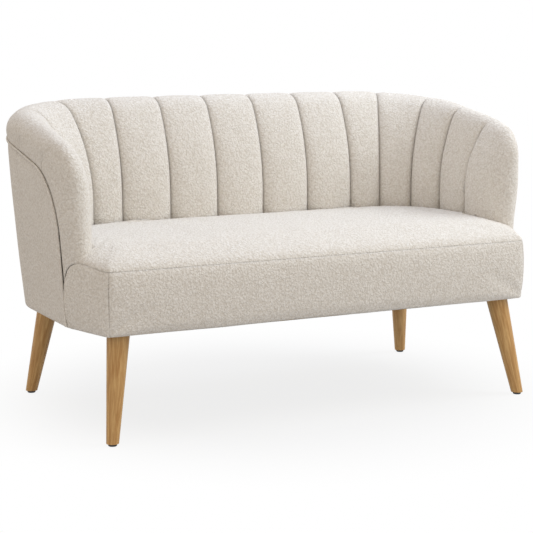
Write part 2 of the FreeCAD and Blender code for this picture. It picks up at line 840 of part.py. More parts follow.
def make_end_pads(covered):
    """Rounded pads over the arm fronts, lofted through the arm from its inner to its outer face."""
    rear = Section(*seam(7))
    crest = rear.top + dim.crest_crown
    wires = []
    for step in range(-NOSE_STEPS, NOSE_STEPS + 1):
        turn = step / NOSE_STEPS * math.pi / 2
        share = math.sin(turn)
        swell = 1 - math.cos(turn)
        depth = dim.nose_outer_depth if share > 0 else dim.nose_inner_depth
        roll = dim.nose_roll_outer if share > 0 else dim.nose_roll_inner
        front = depth * swell - dim.nose_front
        top = crest - roll * swell
        shoulder = top - dim.nose_slope * (rear.crest.y - front)
        bottom = nose_bottom_rear + (nose_bottom_front - nose_bottom_rear) * (
            (rear.base.y - front) / (rear.base.y + dim.nose_front))
        back = rear.base.y + dim.nose_front
        rounding = min(dim.nose_shoulder, (shoulder - bottom) / 2)
        edges = rounded_loop([
            (front, bottom), (back, nose_bottom_rear),
            (back, top + dim.nose_slope * (back - rear.crest.y)), (front, shoulder, rounding)])
        wires.append(wire(edges, through_arm(share)))
    pillow = Part.makeLoft(wires, True, True)
    wide = 2 * crest_half_width
    behind = Part.makeBox(wide, wide, 2 * wide, V(-wide / 2, 0, -wide))
    facing = FreeCAD.Rotation(V(1, 0, 0), rear.across)
    behind.Placement = FreeCAD.Placement(rear.base, facing).multiply(behind.Placement)
    pad = pillow.cut([behind] + covered)
    pair("arm_end_pad", feature("arm_end_pad_right", pad.Solids[0]))


def through_arm(share):
    """Takes (y, z) into the arm at a share of its thickness: -1 the inner face, 1 the outer."""
    def place(point):
        outside = outside_path(point.y)[0]
        middle = outside - dim.nose_half
        inside = seat_half_width
        x = middle + share * (outside - middle if share > 0 else middle - inside)
        return V(x, point.x, point.y)
    return place


# Seat

def seat_corners():
    """The tight seat in plan at its top seam: to the arm fronts, then between the arms."""
    inset = dim.channel_crown + dim.seat_gap
    side = seat_half_width - inset
    nose = dim.nose_front + dim.seat_nose_gap
    slant = (dim.base_half_width - front_half_width) / (seat_front + welt_front_y)
    nose_x = front_half_width + slant * (seat_front - nose)
    run_end = dim.seat_nose_run - nose
    return [(front_half_width, -seat_front, dim.seat_front_corner),
            (nose_x, -nose, dim.seat_gap),
            (seat_half_width + dim.seat_nose_reach, -nose, dim.seat_gap),
            (seat_half_width - dim.seat_gap, run_end, dim.seat_side_round),
            (side, run_end + dim.seat_side_ease, dim.seat_side_round),
            (side, seat_back - inset, seat_corner - inset)]


def plateau_corners():
    """The flat middle of the seat's top, with a corner for each corner of its seam."""
    last = seat_corners()[-1]
    depth = seat_front + seat_back
    front = dim.plateau_setback_share * depth - seat_front
    corner_depth = dim.plateau_corner_share * depth
    corners = []
    for step in range(5):
        turn = step * math.pi / 8
        corners.append((last[0] - dim.plateau_corner_x * (1 - math.sin(turn)),
                        front + corner_depth * (1 - math.cos(turn)), dim.plateau_round))
    return corners + [last]


def make_seat():
    """Deck felt, seat foam and the crowned top cover over it."""
    deck = webbing_top + dim.layer_gap
    half = side_rail_half_x - dim.rail_thickness
    felt = slab("deck_felt", "XY_Plane", rounded_loop(both_sides(
        [(half, front_rail_y), (half, arm_rear_y - seat_corner / 2), (outer_rib_x, seat_back)])),
        "sizes.deck_felt")
    felt.Placement.Base = V(0, 0, deck)
    foam_bottom = deck + dim.deck_felt
    inset = dim.border + dim.layer_gap
    foam_corners = [(x - inset, y - math.copysign(inset, y), radius) for x, y, radius in seat_corners()]
    foam_wire = wire(rounded_loop(both_sides(foam_corners)), at_height(foam_bottom))
    foam = Part.Face(foam_wire).extrude(V(0, 0, seam_height - dim.layer_gap - foam_bottom))
    feature("seat_foam", foam)
    wires = [wire(rounded_loop(both_sides(seat_corners())), at_height(seam_height))]
    for share in CROWN_SHARES:
        corners = [between(a, b, share) for a, b in zip(seat_corners(), plateau_corners())]
        rise = math.sqrt(1 - (1 - share) ** 2) * (seat_height - seam_height)
        wires.append(wire(rounded_loop(both_sides(corners)), at_height(seam_height + rise)))
    feature("seat_top_cover", Part.makeLoft(wires, True, True))


def make_borders():
    """The padded front border and the side borders that run back to the welt."""
    inner = front_rail_y
    outer = -seat_front
    low = dim.clear_height
    edge = dim.border_edge
    middle = V(outer - dim.border_bulge, (low + edge + seam_height) / 2)
    round_middle = V(outer + edge - edge * math.sqrt(0.5), low + edge - edge * math.sqrt(0.5))
    corners = [V(outer, seam_height), V(inner, seam_height), V(inner, low), V(outer + edge, low)]
    edges = [("line", a, b) for a, b in zip(corners, corners[1:])]
    edges.append(("arc", V(outer + edge, low), round_middle, V(outer, low + edge)))
    edges.append(("arc", V(outer, low + edge), middle, V(outer, seam_height)))
    width = "2 * (sizes.base_half_width - sizes.front_taper)"
    slab("seat_front_border", "YZ_Plane", edges, width, midplane=True)
    start = V(front_half_width, inner + dim.layer_gap)
    end = V(dim.base_half_width, welt_front_y - dim.welt_radius)
    run = (end - start).Length - dim.welt_radius
    slope = (nose_bottom_front - nose_bottom_rear) / (dim.nose_front + Section(*seam(7)).base.y)
    rear_top = seam_height - slope * (welt_front_y + dim.nose_front)
    side = slab("seat_side_border_right", "YZ_Plane", rounded_loop([
        (0, low), (run, low), (run, rear_top), (run - dim.nose_outer_depth, seam_height),
        (0, seam_height)]), "sizes.border")
    turn = FreeCAD.Rotation(V(0, 1, 0), end - start)
    side.Placement = FreeCAD.Placement(start - turn.multVec(V(dim.border, 0, 0)), turn)
    pair("seat_side_border", side)


# Support under the seat

def make_webbing():
    """Two layers of flat webbing across the rails."""
    back = dim.base_back - dim.cover_build
    half = dim.webbing_width / 2
    straps = []
    for index in range(LONG_STRAPS):
        x = strap_pitch * (index - (LONG_STRAPS - 1) / 2)
        straps.append(strap(x - half, front_rail_y, "sizes.webbing_width", back - front_rail_y, rail_top))
    group("seat_webbing_long", straps)
    crossing = []
    for index in range(CROSS_STRAPS):
        y = front_rail_y + (corner_y - front_rail_y) * (index + 0.5) / CROSS_STRAPS
        crossing.append(strap(-side_rail_half_x, y - half, 2 * side_rail_half_x, "sizes.webbing_width",
                              rail_top + dim.webbing))
    group("seat_webbing_cross", crossing)


def strap(x, y, length, width, height):
    box = doc.addObject("Part::Box", "webbing_strap")
    for name, value in (("Length", length), ("Width", width)):
        if isinstance(value, str):
            box.setExpression(name, value)
        else:
            setattr(box, name, value)
    box.setExpression("Height", "sizes.webbing")
    box.Placement.Base = V(x, y, height)
    return box


def make_dust_cover():
    """Thin black cloth stapled under the frame, with holes for the leg bolts."""
    half, back, radius = outside_path(dim.clear_height, dim.cover_build + dim.dust_margin)
    front = dim.border + dim.dust_margin
    corners = [(front_half_width - front, -seat_front + front), (half, welt_front_y + front),
               (half, back, radius)]
    rear_y = 2 * feet_middle_y - leg_top.y
    hole = dim.bolt_radius + dim.nut_wall
    holes = [(x * leg_top.x, y, hole) for x in (-1, 1) for y in (leg_top.y, rear_y)]
    cover = slab("dust_cover", "XY_Plane", rounded_loop(both_sides(corners)), "sizes.dust_cover", holes)
    cover.Placement.Base = V(0, 0, dim.clear_height)


def check_and_write():
    """Stop on any failed piece, then write each piece to a file with its name."""
    doc.recompute()
    for obj in doc.Objects:
        if {"Invalid", "Error"} & set(obj.State):
            raise RuntimeError(f"{obj.Label} failed: {obj.State}")
    for obj in nodes:
        if obj.Shape.isNull() or not obj.Shape.isValid() or not obj.Shape.Solids:
            raise RuntimeError(f"{obj.Label} has no valid shape")
    os.makedirs("parts", exist_ok=True)
    for obj in nodes:
        obj.Shape.exportStep(f"parts/{obj.Label}.step")


make_legs()
make_leg_fixings()
make_rails()
make_corner_blocks()
arm_panel, front_post = make_arm_frame()
make_back_frame()
make_webbing()
outside_arm = make_outside_covers()
make_welt()
make_channels()
make_hessian()
doc.recompute()
make_end_pads([arm_panel.Shape, front_post.Shape, outside_arm.Shape])
make_seat()
make_borders()
make_dust_cover()
check_and_write()
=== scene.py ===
import math
from typing import NamedTuple

import bpy
import numpy as np
from bpy.props import FloatProperty, FloatVectorProperty, PointerProperty
from bpy.types import Operator, Panel, PropertyGroup
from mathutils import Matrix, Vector, noise


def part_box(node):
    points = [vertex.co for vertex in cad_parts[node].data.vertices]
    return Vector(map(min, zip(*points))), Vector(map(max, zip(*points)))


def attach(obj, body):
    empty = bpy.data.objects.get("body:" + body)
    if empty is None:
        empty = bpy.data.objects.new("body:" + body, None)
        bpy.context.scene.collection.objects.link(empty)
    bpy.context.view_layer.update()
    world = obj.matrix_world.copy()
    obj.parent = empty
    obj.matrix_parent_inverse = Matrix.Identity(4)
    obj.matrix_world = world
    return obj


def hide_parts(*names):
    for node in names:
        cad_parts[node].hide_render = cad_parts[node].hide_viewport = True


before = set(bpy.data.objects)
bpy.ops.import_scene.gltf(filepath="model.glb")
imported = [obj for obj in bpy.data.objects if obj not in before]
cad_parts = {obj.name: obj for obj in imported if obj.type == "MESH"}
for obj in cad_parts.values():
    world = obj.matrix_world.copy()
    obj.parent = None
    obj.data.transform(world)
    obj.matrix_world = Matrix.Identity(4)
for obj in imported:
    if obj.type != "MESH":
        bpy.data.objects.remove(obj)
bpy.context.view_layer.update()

bl_info = {
    "name": "Curved loveseat",
    "version": (1, 0, 0),
    "blender": (4, 5, 0),
    "location": "3D View > Sidebar > Loveseat",
    "description": "Upholsters a curved two-seat sofa with a channelled back on its packed frame",
    "category": "Object",
}

UP = 2
QUARTER = math.pi / 2

# Channel seams on each side of the middle: in all, across the back, in a corner, and before they fan out
SEAMS = 7
BACK_SEAMS = 3
CORNER_SEAMS = 3
UPRIGHT_SEAMS = 4

# Directions square to the plane of a level seam, and of one that runs from side to side
LEVEL = (0.0, 0.0, 1.0)
DEEP = (0.0, 1.0, 0.0)

# Steps along a section of the padded wall: upright face, lean, roll, rear of the roll, down to the welt
SECTION_STEPS = (8, 16, 12, 9, 6)
CREST = sum(SECTION_STEPS[:3])

# Steps up the straight front of the welt, and up, over and back along an arm's nose
FRONT_STEPS = 8
NOSE_STEPS = (18, 15, 13)

# How tight the padding is drawn in at the welt, next to a channel seam's 1
WELT_TIGHTNESS = 0.6

# Rows of points across a channel, an arm's inner face, the back's outside and the hessian
CHANNEL_ROWS = 19
INNER_ROWS = 11
BACK_ROWS = 121
HESSIAN_ROWS = 61

# Rings of points up the seat's crown and over its level top, and the distance between points on them
CROWN_RINGS = 15
TOP_RINGS = 12
SEAT_PITCH = 0.012

# Steps up a seat border and an outside cover, and of the cloth simulation
BORDER_STEPS = 20
COVER_STEPS = 24
CLOTH_STEPS = 20


def low(piece, axis=UP):
    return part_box(piece)[0][axis]


def high(piece, axis=UP):
    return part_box(piece)[1][axis]


def sides(name):
    return [f"{name}_right", f"{name}_left"]


def linear(code):
    """An sRGB hex colour as linear red, green and blue."""
    shares = [int(code[i:i + 2], 16) / 255 for i in (1, 3, 5)]
    return tuple(s / 12.92 if s <= 0.04045 else ((s + 0.055) / 1.055) ** 2.4 for s in shares)


def length(default, description):
    return FloatProperty(description=description, default=default, unit="LENGTH", precision=4)


def ratio(default, description):
    return FloatProperty(description=description, default=default, precision=4)


def colour(code, description):
    return FloatVectorProperty(description=description, subtype="COLOR", size=3, min=0, max=1,
                               default=linear(code))


# Sizes and colours

class OutsideSizes(PropertyGroup):
    """The outside of the arms and back, which flares from the frame's bottom edge to the welt."""
    bottom: length(low("outside_back"), "Height of the lower edge of the covers")
    half_width: length(0.612, "From the middle to the outside of an arm at the bottom")
    back: length(0.277, "From the origin to the outside of the back at the bottom")
    corner: length(0.165, "Radius of the rear corners at the bottom")
    arm_flare: ratio(0.0725, "How much an arm leans out for its height")
    back_flare: ratio(0.1, "How much the back leans out for its height")
    corner_flare: ratio(0.06, "How much a rear corner's radius grows for its height")
    arm_rear: length(high("outside_arm_right", 1), "Where the arm cover meets the back cover")
    arm_front: length(low("outside_arm_right", 1), "Where the arm cover ends in front")
    welt_height: length(0.694, "Height of the welt at the back")
    welt_fall: ratio(0.2, "How much the welt falls towards the front")
    welt_bend: length(0.16, "Radius of the welt's bend at the front of an arm")
    welt_radius: length(0.0028, "Half the thickness of the welt")
    welt_sink: length(0.0035, "Depth of the covers' groove along the welt")
    bulge: length(0.0025, "How far the padding swells a cover")


class BackSizes(PropertyGroup):
    """The inside of the arms and back, measured in the seams between the channels."""
    seat_half_width: length(0.55, "From the middle to the inside of an arm")
    seat_back: length(0.169, "From the origin to the inside of the back")
    seat_corner: length(0.2, "Radius of the inside corners at the seat")
    crest_half_width: length(0.606, "From the middle to the crest of an arm")
    crest_back: length(0.282, "From the origin to the crest of the back")
    crest_corner: length(0.195, "Radius of the crest's corners")
    crest_height: length(0.756, "Height of the crest in the seams")
    crest_flat: length(0.33, "How far the crest runs level from the middle")
    crest_fall: length(2.73, "Radius of the crest's fall to the arms")
    bend_height: length(0.5, "Height at which the upright face starts to lean back")
    bottom: length(low("back_channel_middle"), "Height of the channels' lower edge, behind the seat")
    roll: ratio(0.55, "Radius of the roll at the crest as a share of the wall's depth")
    channel: length(0.134, "Width of a channel across the back at the seat")
    corner_channel: length(0.085, "Width of a channel round the corner at the seat")
    arm_channel: length(0.107, "Width of the last channel, on the arm, at the seat")
    crest_channel: length(0.135, "Width of a channel at the crest")
    fan: length(0.0155, "How far each seam past the fourth leans on to the front at the crest")
    crown: length(0.0115, "How far a channel stands out from its seams")
    crest_crown: length(0.002, "How far a channel stands up at the crest")
    padding: length(0.044, "Depth of padding over the crest")
    crease: length(0.006, "Depth of the crease at a channel seam")
    crease_width: length(0.0042, "How far from a channel seam its crease fades out")


class ArmSizes(PropertyGroup):
    """The rounded pads over the arm fronts."""
    front: length(0.219, "From the origin to the foremost point of the arm")
    outer_depth: length(0.054, "How far the nose runs back on the outside")
    inner_depth: length(0.125, "How far the nose runs back on the inside")
    outer_roll: length(0.086, "How far the arm's top rolls down on the outside")
    inner_roll: length(0.19, "How far the arm's top rolls down on the inside")
    outer_half: length(0.036, "From the arm's ridge to its outside")
    shoulder: length(0.09, "Radius of the arm's front shoulder")
    slope: ratio(0.23, "How much the arm's top falls towards the front")
    bottom: length(0.402, "Height of the pad's lower edge in front")


class SeatSizes(PropertyGroup):
    """The tight seat and its borders."""
    seam: length(low("seat_top_cover"), "Height of the seam round the seat's top")
    top: length(high("seat_top_cover"), "Height of the seat's top")
    front: length(-low("seat_top_cover", 1), "From the origin to the front seam")
    half_front: length(high("seat_front_border", 0), "Half the width of the front border")
    clearance: length(0.0006, "Gap between the seat and the padding round it")
    front_corner: length(0.014, "Radius of the seat's front corners")
    nose_round: length(0.03, "Rounding of the edge round an arm's nose")
    plateau_round: length(0.015, "Rounding of the level top's corners")
    plateau_setback: length(0.166, "From the front seam to the level top")
    plateau_x: length(0.066, "Width of the level top's rounded corner")
    plateau_y: length(0.09, "Depth of the level top's rounded corner")
    dome: length(0.003, "How far the level top still swells")
    border_bulge: length(0.0045, "How far a border swells")
    border_edge: length(0.009, "Radius of the borders' lower edge")
    side_rise: length(0.011, "How far the seat's seam rises from the front to the arms")
    tuck_rise: length(0.028, "How much higher still the seam lies between the arms")
    rear_tuck: length(0.008, "How far below the seat's top its rear edge is tucked in")
    border_drop: length(0.058, "How far a side border's rear corner is rounded down")
    seam_sink: length(0.0018, "Depth of the groove at a sewn edge")
    seam_width: length(0.0024, "How far from a sewn edge its groove fades out")


class LoveseatColours(PropertyGroup):
    """Finishes, as they look in white light."""
    # The cloth's pile: the tops of its loops, and painted shade for the dips between them
    loops: colour("#F0EDE8", "Tops of the cloth's loops")
    painted_hollow_shade: colour("#D9D3CA", "Hollows between the cloth's loops")
    oak_early: colour("#D8B074", "Pale bands of the legs' grain")
    oak_late: colour("#B3844A", "Dark bands of the legs' grain")
    nylon: colour("#17171A", "Black nylon of the glides")
    zinc: colour("#B9BABD", "Plating of the bolts and nuts")
    pine: colour("#D8B98A", "Planed frame timber")
    plywood: colour("#DCC49C", "Sawn birch plywood")
    jute: colour("#A88B60", "Woven jute")
    strap: colour("#5B4634", "Woven seat webbing")
    felt: colour("#BDBBB4", "Pressed deck felt")
    foam: colour("#EADFB9", "Open-cell seat foam")
    dust: colour("#1C1C1E", "Black cloth under the frame")
    paper: colour("#D0D0D0", "Seamless floor")


def sizes():
    return bpy.context.scene.loveseat


class Padding(NamedTuple):
    """How a group of soft pieces is stuffed."""
    pressure: float
    swell_limit: float
    lump_height: float
    lump_size: float
    thickness: float
    fill: float


BACK_PADDING = Padding(3.0, 0.004, 0.0016, 0.07, 0.012, 0.8)
ARM_PADDING = Padding(3.0, 0.005, 0.0018, 0.06, 0.008, 0.85)
SEAT_PADDING = Padding(2.0, 0.003, 0.0016, 0.09, 0.006, 0.9)
COVER_PADDING = Padding(0.0, 0.0, 0.0008, 0.12, 0.004, 0.95)


# Curves and shares

def unit(vectors):
    return vectors / np.maximum(np.linalg.norm(vectors, axis=-1, keepdims=True), 1e-9)


def crowded(count):
    """Shares from 0 to 1, closer together towards both ends."""
    return 0.5 - 0.5 * np.cos(np.linspace(0, math.pi, count))


def eased(value, start, end):
    """0 before a start, 1 past an end and a smooth rise between them."""
    share = np.clip((np.asarray(value, float) - start) / (end - start), 0, 1)
    return share * share * (3 - 2 * share)


def spaced(start, end, count):
    """Points along a line, closer together towards its ends."""
    shares = 0.5 * crowded(count) + 0.5 * np.linspace(0, 1, count)
    return start + (end - start) * shares[:, None]


def arc(centre, radius, start, end, count):
    """Points on an arc in the wall's section, with the turn taken up from the front."""
    turns = np.linspace(start, end, count)
    return np.stack((centre[0] - radius * np.cos(turns), centre[1] + radius * np.sin(turns)), 1)


def corner_arc(before, corner, after, radius, count):
    """Points on the arc that rounds a corner between two others."""
    back, on = unit(before - corner), unit(after - corner)
    half = math.acos(np.clip(back @ on, -1, 1)) / 2
    centre = corner + unit(back + on) * radius / math.sin(half)
    start = corner + back * radius / math.tan(half) - centre
    end = corner + on * radius / math.tan(half) - centre
    sweep = math.pi - 2 * half
    shares = np.linspace(0, 1, count)[:, None]
    offset = np.sin((1 - shares) * sweep) * start + np.sin(shares * sweep) * end
    return centre + offset / math.sin(sweep)


def length_along(curve):
    return np.concatenate(([0], np.cumsum(np.linalg.norm(np.diff(curve, axis=0), axis=1))))


def matched(curve, target):
    """Points on a target curve, spaced like those on another."""
    gone, there = length_along(curve), length_along(target)
    shares = gone / gone[-1]
    return np.column_stack([np.interp(shares * there[-1], there, axis) for axis in target.T])


# Plan paths: rounded U shapes given as (half width, back, corner radius)

def seat_path():
    b = sizes().inside
    return b.seat_half_width, b.seat_back, b.seat_corner


def crest_path():
    b = sizes().inside
    return b.crest_half_width, b.crest_back, b.crest_corner


def outside_path(height):
    o = sizes().outside
    rise = height - o.bottom
    half, back = o.half_width + o.arm_flare * rise, o.back + o.back_flare * rise
    return half, back, o.corner + o.corner_flare * rise


def along(path, distance):
    """The point on a path at a distance from the middle of the back; negative is to the left."""
    half, back, radius = path
    side = math.copysign(1, distance)
    distance = abs(distance)
    straight = half - radius
    bend = radius * QUARTER
    if distance <= straight:
        return np.array((side * distance, back))
    if distance <= straight + bend:
        turn = (distance - straight) / radius
        x = straight + radius * math.sin(turn)
        return np.array((side * x, back - radius + radius * math.cos(turn)))
    return np.array((side * half, back - radius - (distance - straight - bend)))


def reach(path, start, direction):
    """How far a path lies from a point inside it, along a direction to the back or a side."""
    half, back, radius = path
    start = np.array((abs(start[0]), start[1]))
    direction = np.array((abs(direction[0]), direction[1]))
    centre = np.array((half - radius, back - radius))
    if direction[1] > 0:
        far = (back - start[1]) / direction[1]
        if start[0] + direction[0] * far <= centre[0]:
            return far
    far = (half - start[0]) / max(direction[0], 1e-9)
    if start[1] + direction[1] * far <= centre[1]:
        return far
    offset = start - centre
    middle = offset @ direction
    return math.sqrt(middle ** 2 - offset @ offset + radius ** 2) - middle


def welt_path():
    """The welt on the right side as (y, z): up the arm's front, round a bend, then rising to the back."""
    o, s = sizes().outside, sizes().seat
    bend_points = 21
    back = np.array((outside_path(o.welt_height)[1], o.welt_height))
    corner = np.array((o.arm_front, o.welt_height - o.welt_fall * (back[0] - o.arm_front)))
    bend = corner_arc(corner - (0, 1), corner, back, o.welt_bend, bend_points)
    front = np.linspace((o.arm_front, s.seam - s.border_drop), bend[0], FRONT_STEPS + 1)[:-1]
    return np.concatenate((front, bend, [back]))


def welt_height(y):
    return np.interp(y, *welt_path().T)


def arm_edge(rear):
    """The welt's path up to a place on the arm."""
    path = welt_path()
    return np.vstack((path[path[:, 0] < rear - 1e-6], (rear, welt_height(rear))))


def seam_distances(index):
    """How far along the seat and the crest a channel seam lies, and its lean; index 0 is the middle."""
    b = sizes().inside
    count = abs(index)
    past_back = max(0, count - BACK_SEAMS)
    seat = b.channel * max(0, min(count, BACK_SEAMS) - 0.5)
    seat += b.corner_channel * min(past_back, CORNER_SEAMS)
    seat += b.arm_channel * max(0, past_back - CORNER_SEAMS)
    crest = b.crest_channel * max(0, count - 0.5)
    lean = b.fan * max(0, count - UPRIGHT_SEAMS)
    side = math.copysign(1, index)
    return side * seat, side * crest, side * lean


def crest_top(distance):
    b = sizes().inside
    return b.crest_height - max(0, abs(distance) - b.crest_flat) ** 2 / (2 * b.crest_fall)


class Wall:
    """The padded wall cut upright where it meets the seat and the crest at given distances."""

    def __init__(self, seat_distance, crest_distance):
        self.base = along(seat_path(), seat_distance)
        self.crest = along(crest_path(), crest_distance)
        span = self.crest - self.base
        self.depth = float(np.linalg.norm(span))
        self.across = span / self.depth
        self.square = (self.across[1], -self.across[0], 0.0)
        self.top = crest_top(crest_distance)

    def outside(self, height):
        return self.depth + reach(outside_path(height), self.crest, self.across)

    def place(self, section):
        """Takes (depth into the wall, height) to points in space."""
        flat = self.base + section[:, :1] * self.across
        return np.column_stack((flat, section[:, 1]))

    def face(self, crown, inset=0.0):
        """The face's front and top, and the radius, roll and end turn of its lean back into the crest."""
        b = sizes().inside
        front = inset - b.crown * crown
        top = self.top + b.crest_crown * crown - inset
        depth = self.depth - front
        rise = top - b.bend_height
        roll = b.roll * depth
        radius = (depth ** 2 + (rise - roll) ** 2 - roll ** 2) / (2 * (depth - roll))
        return front, top, radius, roll, math.asin((rise - roll) / (radius - roll))

    def cover(self, crown):
        """The padding's surface from behind the seat, over the crest, to the welt."""
        b = sizes().inside
        front, top, radius, roll, turn = self.face(crown)
        rear = self.outside(top - b.padding) - self.depth
        back = self.base + self.across * self.outside(sizes().outside.welt_height)
        welt = welt_height(back[1])
        upright, lean, rolled, behind, down = SECTION_STEPS
        parts = (
            np.linspace((front, b.bottom), (front, b.bend_height), upright + 1)[:-1],
            arc((front + radius, b.bend_height), radius, 0, turn, lean + 1)[:-1],
            arc((self.depth, top - roll), roll, turn, QUARTER, rolled + 1)[:-1],
            arc((self.depth, top - rear), rear, QUARTER, math.pi, behind + 1)[:-1],
            np.linspace((self.depth + rear, top - rear), (self.outside(welt), welt), down + 1),
        )
        return self.place(np.concatenate(parts))


def leaning_cover(seat, crest, lean, crown):
    """A wall's cover that leans on along the crest, and is square again by the welt."""
    plain = Wall(seat, crest).cover(crown)
    steps = np.arange(len(plain))
    share = eased(steps, SECTION_STEPS[0], CREST / 2) * (1 - eased(steps, CREST, steps[-1]))
    return plain + (Wall(seat, crest + lean).cover(crown) - plain) * share[:, None]


def seam_square(index):
    """The direction square to a seam's plane, taken without its lean."""
    return Wall(*seam_distances(index)[:2]).square


# Cloth patches: grids of points that are sewn along marked edges

class Patch:
    """Rows by columns of points; rows run across the cloth and columns up it.

    Seams hold, for each sewn point, the direction square to its seam's plane, and zeros elsewhere.
    """

    def __init__(self, name, points, seams=None, closed=False):
        self.name = name
        self.points = np.array(points, float)
        self.seams = seams
        self.closed = closed
        self.tightness = np.ones(self.points.shape[:2])

    def faces(self, start=0):
        rows, columns = self.points.shape[:2]
        index = np.arange(rows * columns).reshape(rows, columns) + start
        if self.closed:
            index = np.vstack((index, index[:1]))
        quads = np.stack((index[:-1, :-1], index[1:, :-1], index[1:, 1:], index[:-1, 1:]), -1)
        return quads.reshape(-1, 4).tolist()

    def normals(self):
        across = np.gradient(self.points, axis=0)
        if self.closed:
            across = np.roll(self.points, -1, 0) - np.roll(self.points, 1, 0)
        normals = np.cross(across, np.gradient(self.points, axis=1))
        area = np.linalg.norm(normals, axis=-1)
        pinched = area[:, -1] < 0.05 * area[:, -2]
        if pinched.any():
            normals[pinched, -1] = normals[pinched, -2].mean(0)
        places, which = sewn_points(self.points.reshape(-1, 3))
        shared = np.zeros_like(places)
        np.add.at(shared, which, normals.reshape(-1, 3))
        return unit(shared[which]).reshape(self.points.shape)

    def to_seams(self, width):
        """How near each point is to a seam, 1 on it and fading over a width, and that seam's square."""
        sewn = self.seams.any(-1)
        gaps = np.linalg.norm(self.points[..., None, :] - self.points[sewn], axis=-1)
        return np.exp(-gaps.min(-1) / width), self.seams[sewn][gaps.argmin(-1)]

    def sink_seams(self, depth, width, shade=1.0):
        """Draws the cloth in along its seams, within each seam's plane so that neighbours still meet, and
        keeps the painted shade that darkens the cloth near them.
        """
        near, square = self.to_seams(width)
        normal = self.normals()
        slip = (normal * square).sum(-1) * near
        inward = unit(normal - slip[..., None] * square)
        near = near * self.tightness
        self.points -= inward * (depth * near)[..., None]
        # Painted shade for the crease: strongest on a seam, fading away from it
        self.shade = np.minimum(shade * near, 1)

    def unsettle(self, amount, size):
        """Small uneven swells of hand-laid padding, fading out at the seams."""
        flat = self.points.reshape(-1, 3)
        swell = np.array([noise.noise(Vector(p) / size) for p in flat]).reshape(self.points.shape[:2])
        share = 1 - self.to_seams(size / 4)[0]
        self.points += self.normals() * (amount * swell * share)[..., None]

    def with_twin(self):
        """This patch of the right side and its mirror image on the left."""
        flip = np.array((-1, 1, 1))
        name = self.name.replace("_right", "_left")
        twin = Patch(name, self.points[::-1] * flip, self.seams[::-1] * flip)
        twin.tightness = self.tightness[::-1]
        return [self, twin]

    def piece(self):
        return new_mesh(self.name, self.points.reshape(-1, 3), self.faces())


def seam_marks(shape, rows=None, columns=None):
    """Marks whole rows and columns of a grid as sewn, each with the direction square to its plane."""
    marks = np.zeros(shape)
    for row, square in (rows or {}).items():
        marks[row] = square
    for column, square in (columns or {}).items():
        marks[:, column] = square
    return marks


def sewn_points(points):
    """The points with those that coincide made one, and which of them each point became."""
    places, which = np.unique(points, axis=0, return_inverse=True)
    return places, which.ravel()


def new_mesh(name, points, faces):
    """A mesh in which points that coincide are one."""
    places, which = sewn_points(points)
    sewn = [list(dict.fromkeys(which[face].tolist())) for face in faces]
    mesh = bpy.data.meshes.new(name)
    mesh.from_pydata(places.tolist(), [], [face for face in sewn if len(face) > 2])
    piece = bpy.data.objects.new(name, mesh)
    bpy.context.scene.collection.objects.link(piece)
    return piece


def inflate(patches, pressure, limit):
    """Swells patches as cloth that is held at its open and sewn edges, by no more than a limit."""
    points = np.concatenate([p.points.reshape(-1, 3) for p in patches])
    starts = np.cumsum([0] + [p.points.shape[0] * p.points.shape[1] for p in patches])
    faces = [face for p, start in zip(patches, starts) for face in p.faces(int(start))]
    places, which = sewn_points(points)
    held = which[np.concatenate([held_points(p).ravel() for p in patches])]
    trial = new_mesh("cloth_trial", points, faces)
    shift = (swollen(trial, held.tolist(), pressure) - places)[which]
    bpy.data.objects.remove(trial)
    far = np.linalg.norm(shift, axis=1, keepdims=True)
    shift *= limit * np.tanh(far / limit) / np.maximum(far, 1e-9)
    for patch, start, end in zip(patches, starts, starts[1:]):
        patch.points += shift[start:end].reshape(patch.points.shape)


def swollen(trial, held, pressure):
    """Where a trial cloth's points come to rest under pressure from inside, while some are held."""
    group = trial.vertex_groups.new(name="held")
    group.add(held, 1.0, "REPLACE")
    swell = trial.modifiers.new("swell", "CLOTH")
    swell.settings.vertex_group_mass = group.name
    swell.settings.use_pressure = True
    swell.settings.uniform_pressure_force = pressure
    swell.settings.effector_weights.gravity = 0
    swell.collision_settings.use_collision = False
    scene = bpy.context.scene
    for step in range(1, CLOTH_STEPS + 1):
        scene.frame_set(step)
    rested = trial.evaluated_get(bpy.context.evaluated_depsgraph_get())
    moved = np.empty(3 * len(rested.data.vertices))
    rested.data.vertices.foreach_get("co", moved)
    scene.frame_set(1)
    return moved.reshape(-1, 3)


def held_points(patch):
    """Sewn edges, and the open edges of a patch, which are tacked to the frame."""
    held = patch.seams.any(-1)
    held[:, 0] = True
    if not patch.closed:
        held[:, -1] = True
        held[[0, -1]] = True
    return held


def make_active(piece):
    """Makes a piece the only one selected, for the operators that follow."""
    bpy.ops.object.select_all(action="DESELECT")
    bpy.context.view_layer.objects.active = piece
    piece.select_set(True)


def thicken(piece, thickness):
    """Gives a surface its thickness on its inner side and applies its modifiers."""
    wall = piece.modifiers.new("wall", "SOLIDIFY")
    wall.thickness = thickness
    wall.offset = -1
    make_active(piece)
    for modifier in list(piece.modifiers):
        bpy.ops.object.modifier_apply(modifier=modifier.name)
    bpy.ops.object.shade_smooth()


def upholster(patch, name, padding):
    """Makes a padded piece of a patch, in place of its plain solid."""
    piece = patch.piece()
    places, which = sewn_points(patch.points.reshape(-1, 3))
    # The painted crease shade goes on the mesh as its seam attribute, which the cloth's material reads
    shade = np.zeros(len(places), np.float32)
    shade[which] = patch.shade.ravel()
    seam = piece.data.attributes.new("seam", "FLOAT", "POINT")
    seam.data.foreach_set("value", shade)
    finer = piece.modifiers.new("finer", "SUBSURF")
    finer.levels = 1
    finer.render_levels = 1
    finer.boundary_smooth = "PRESERVE_CORNERS"
    thicken(piece, padding.thickness)
    settle(piece, name, cloth())


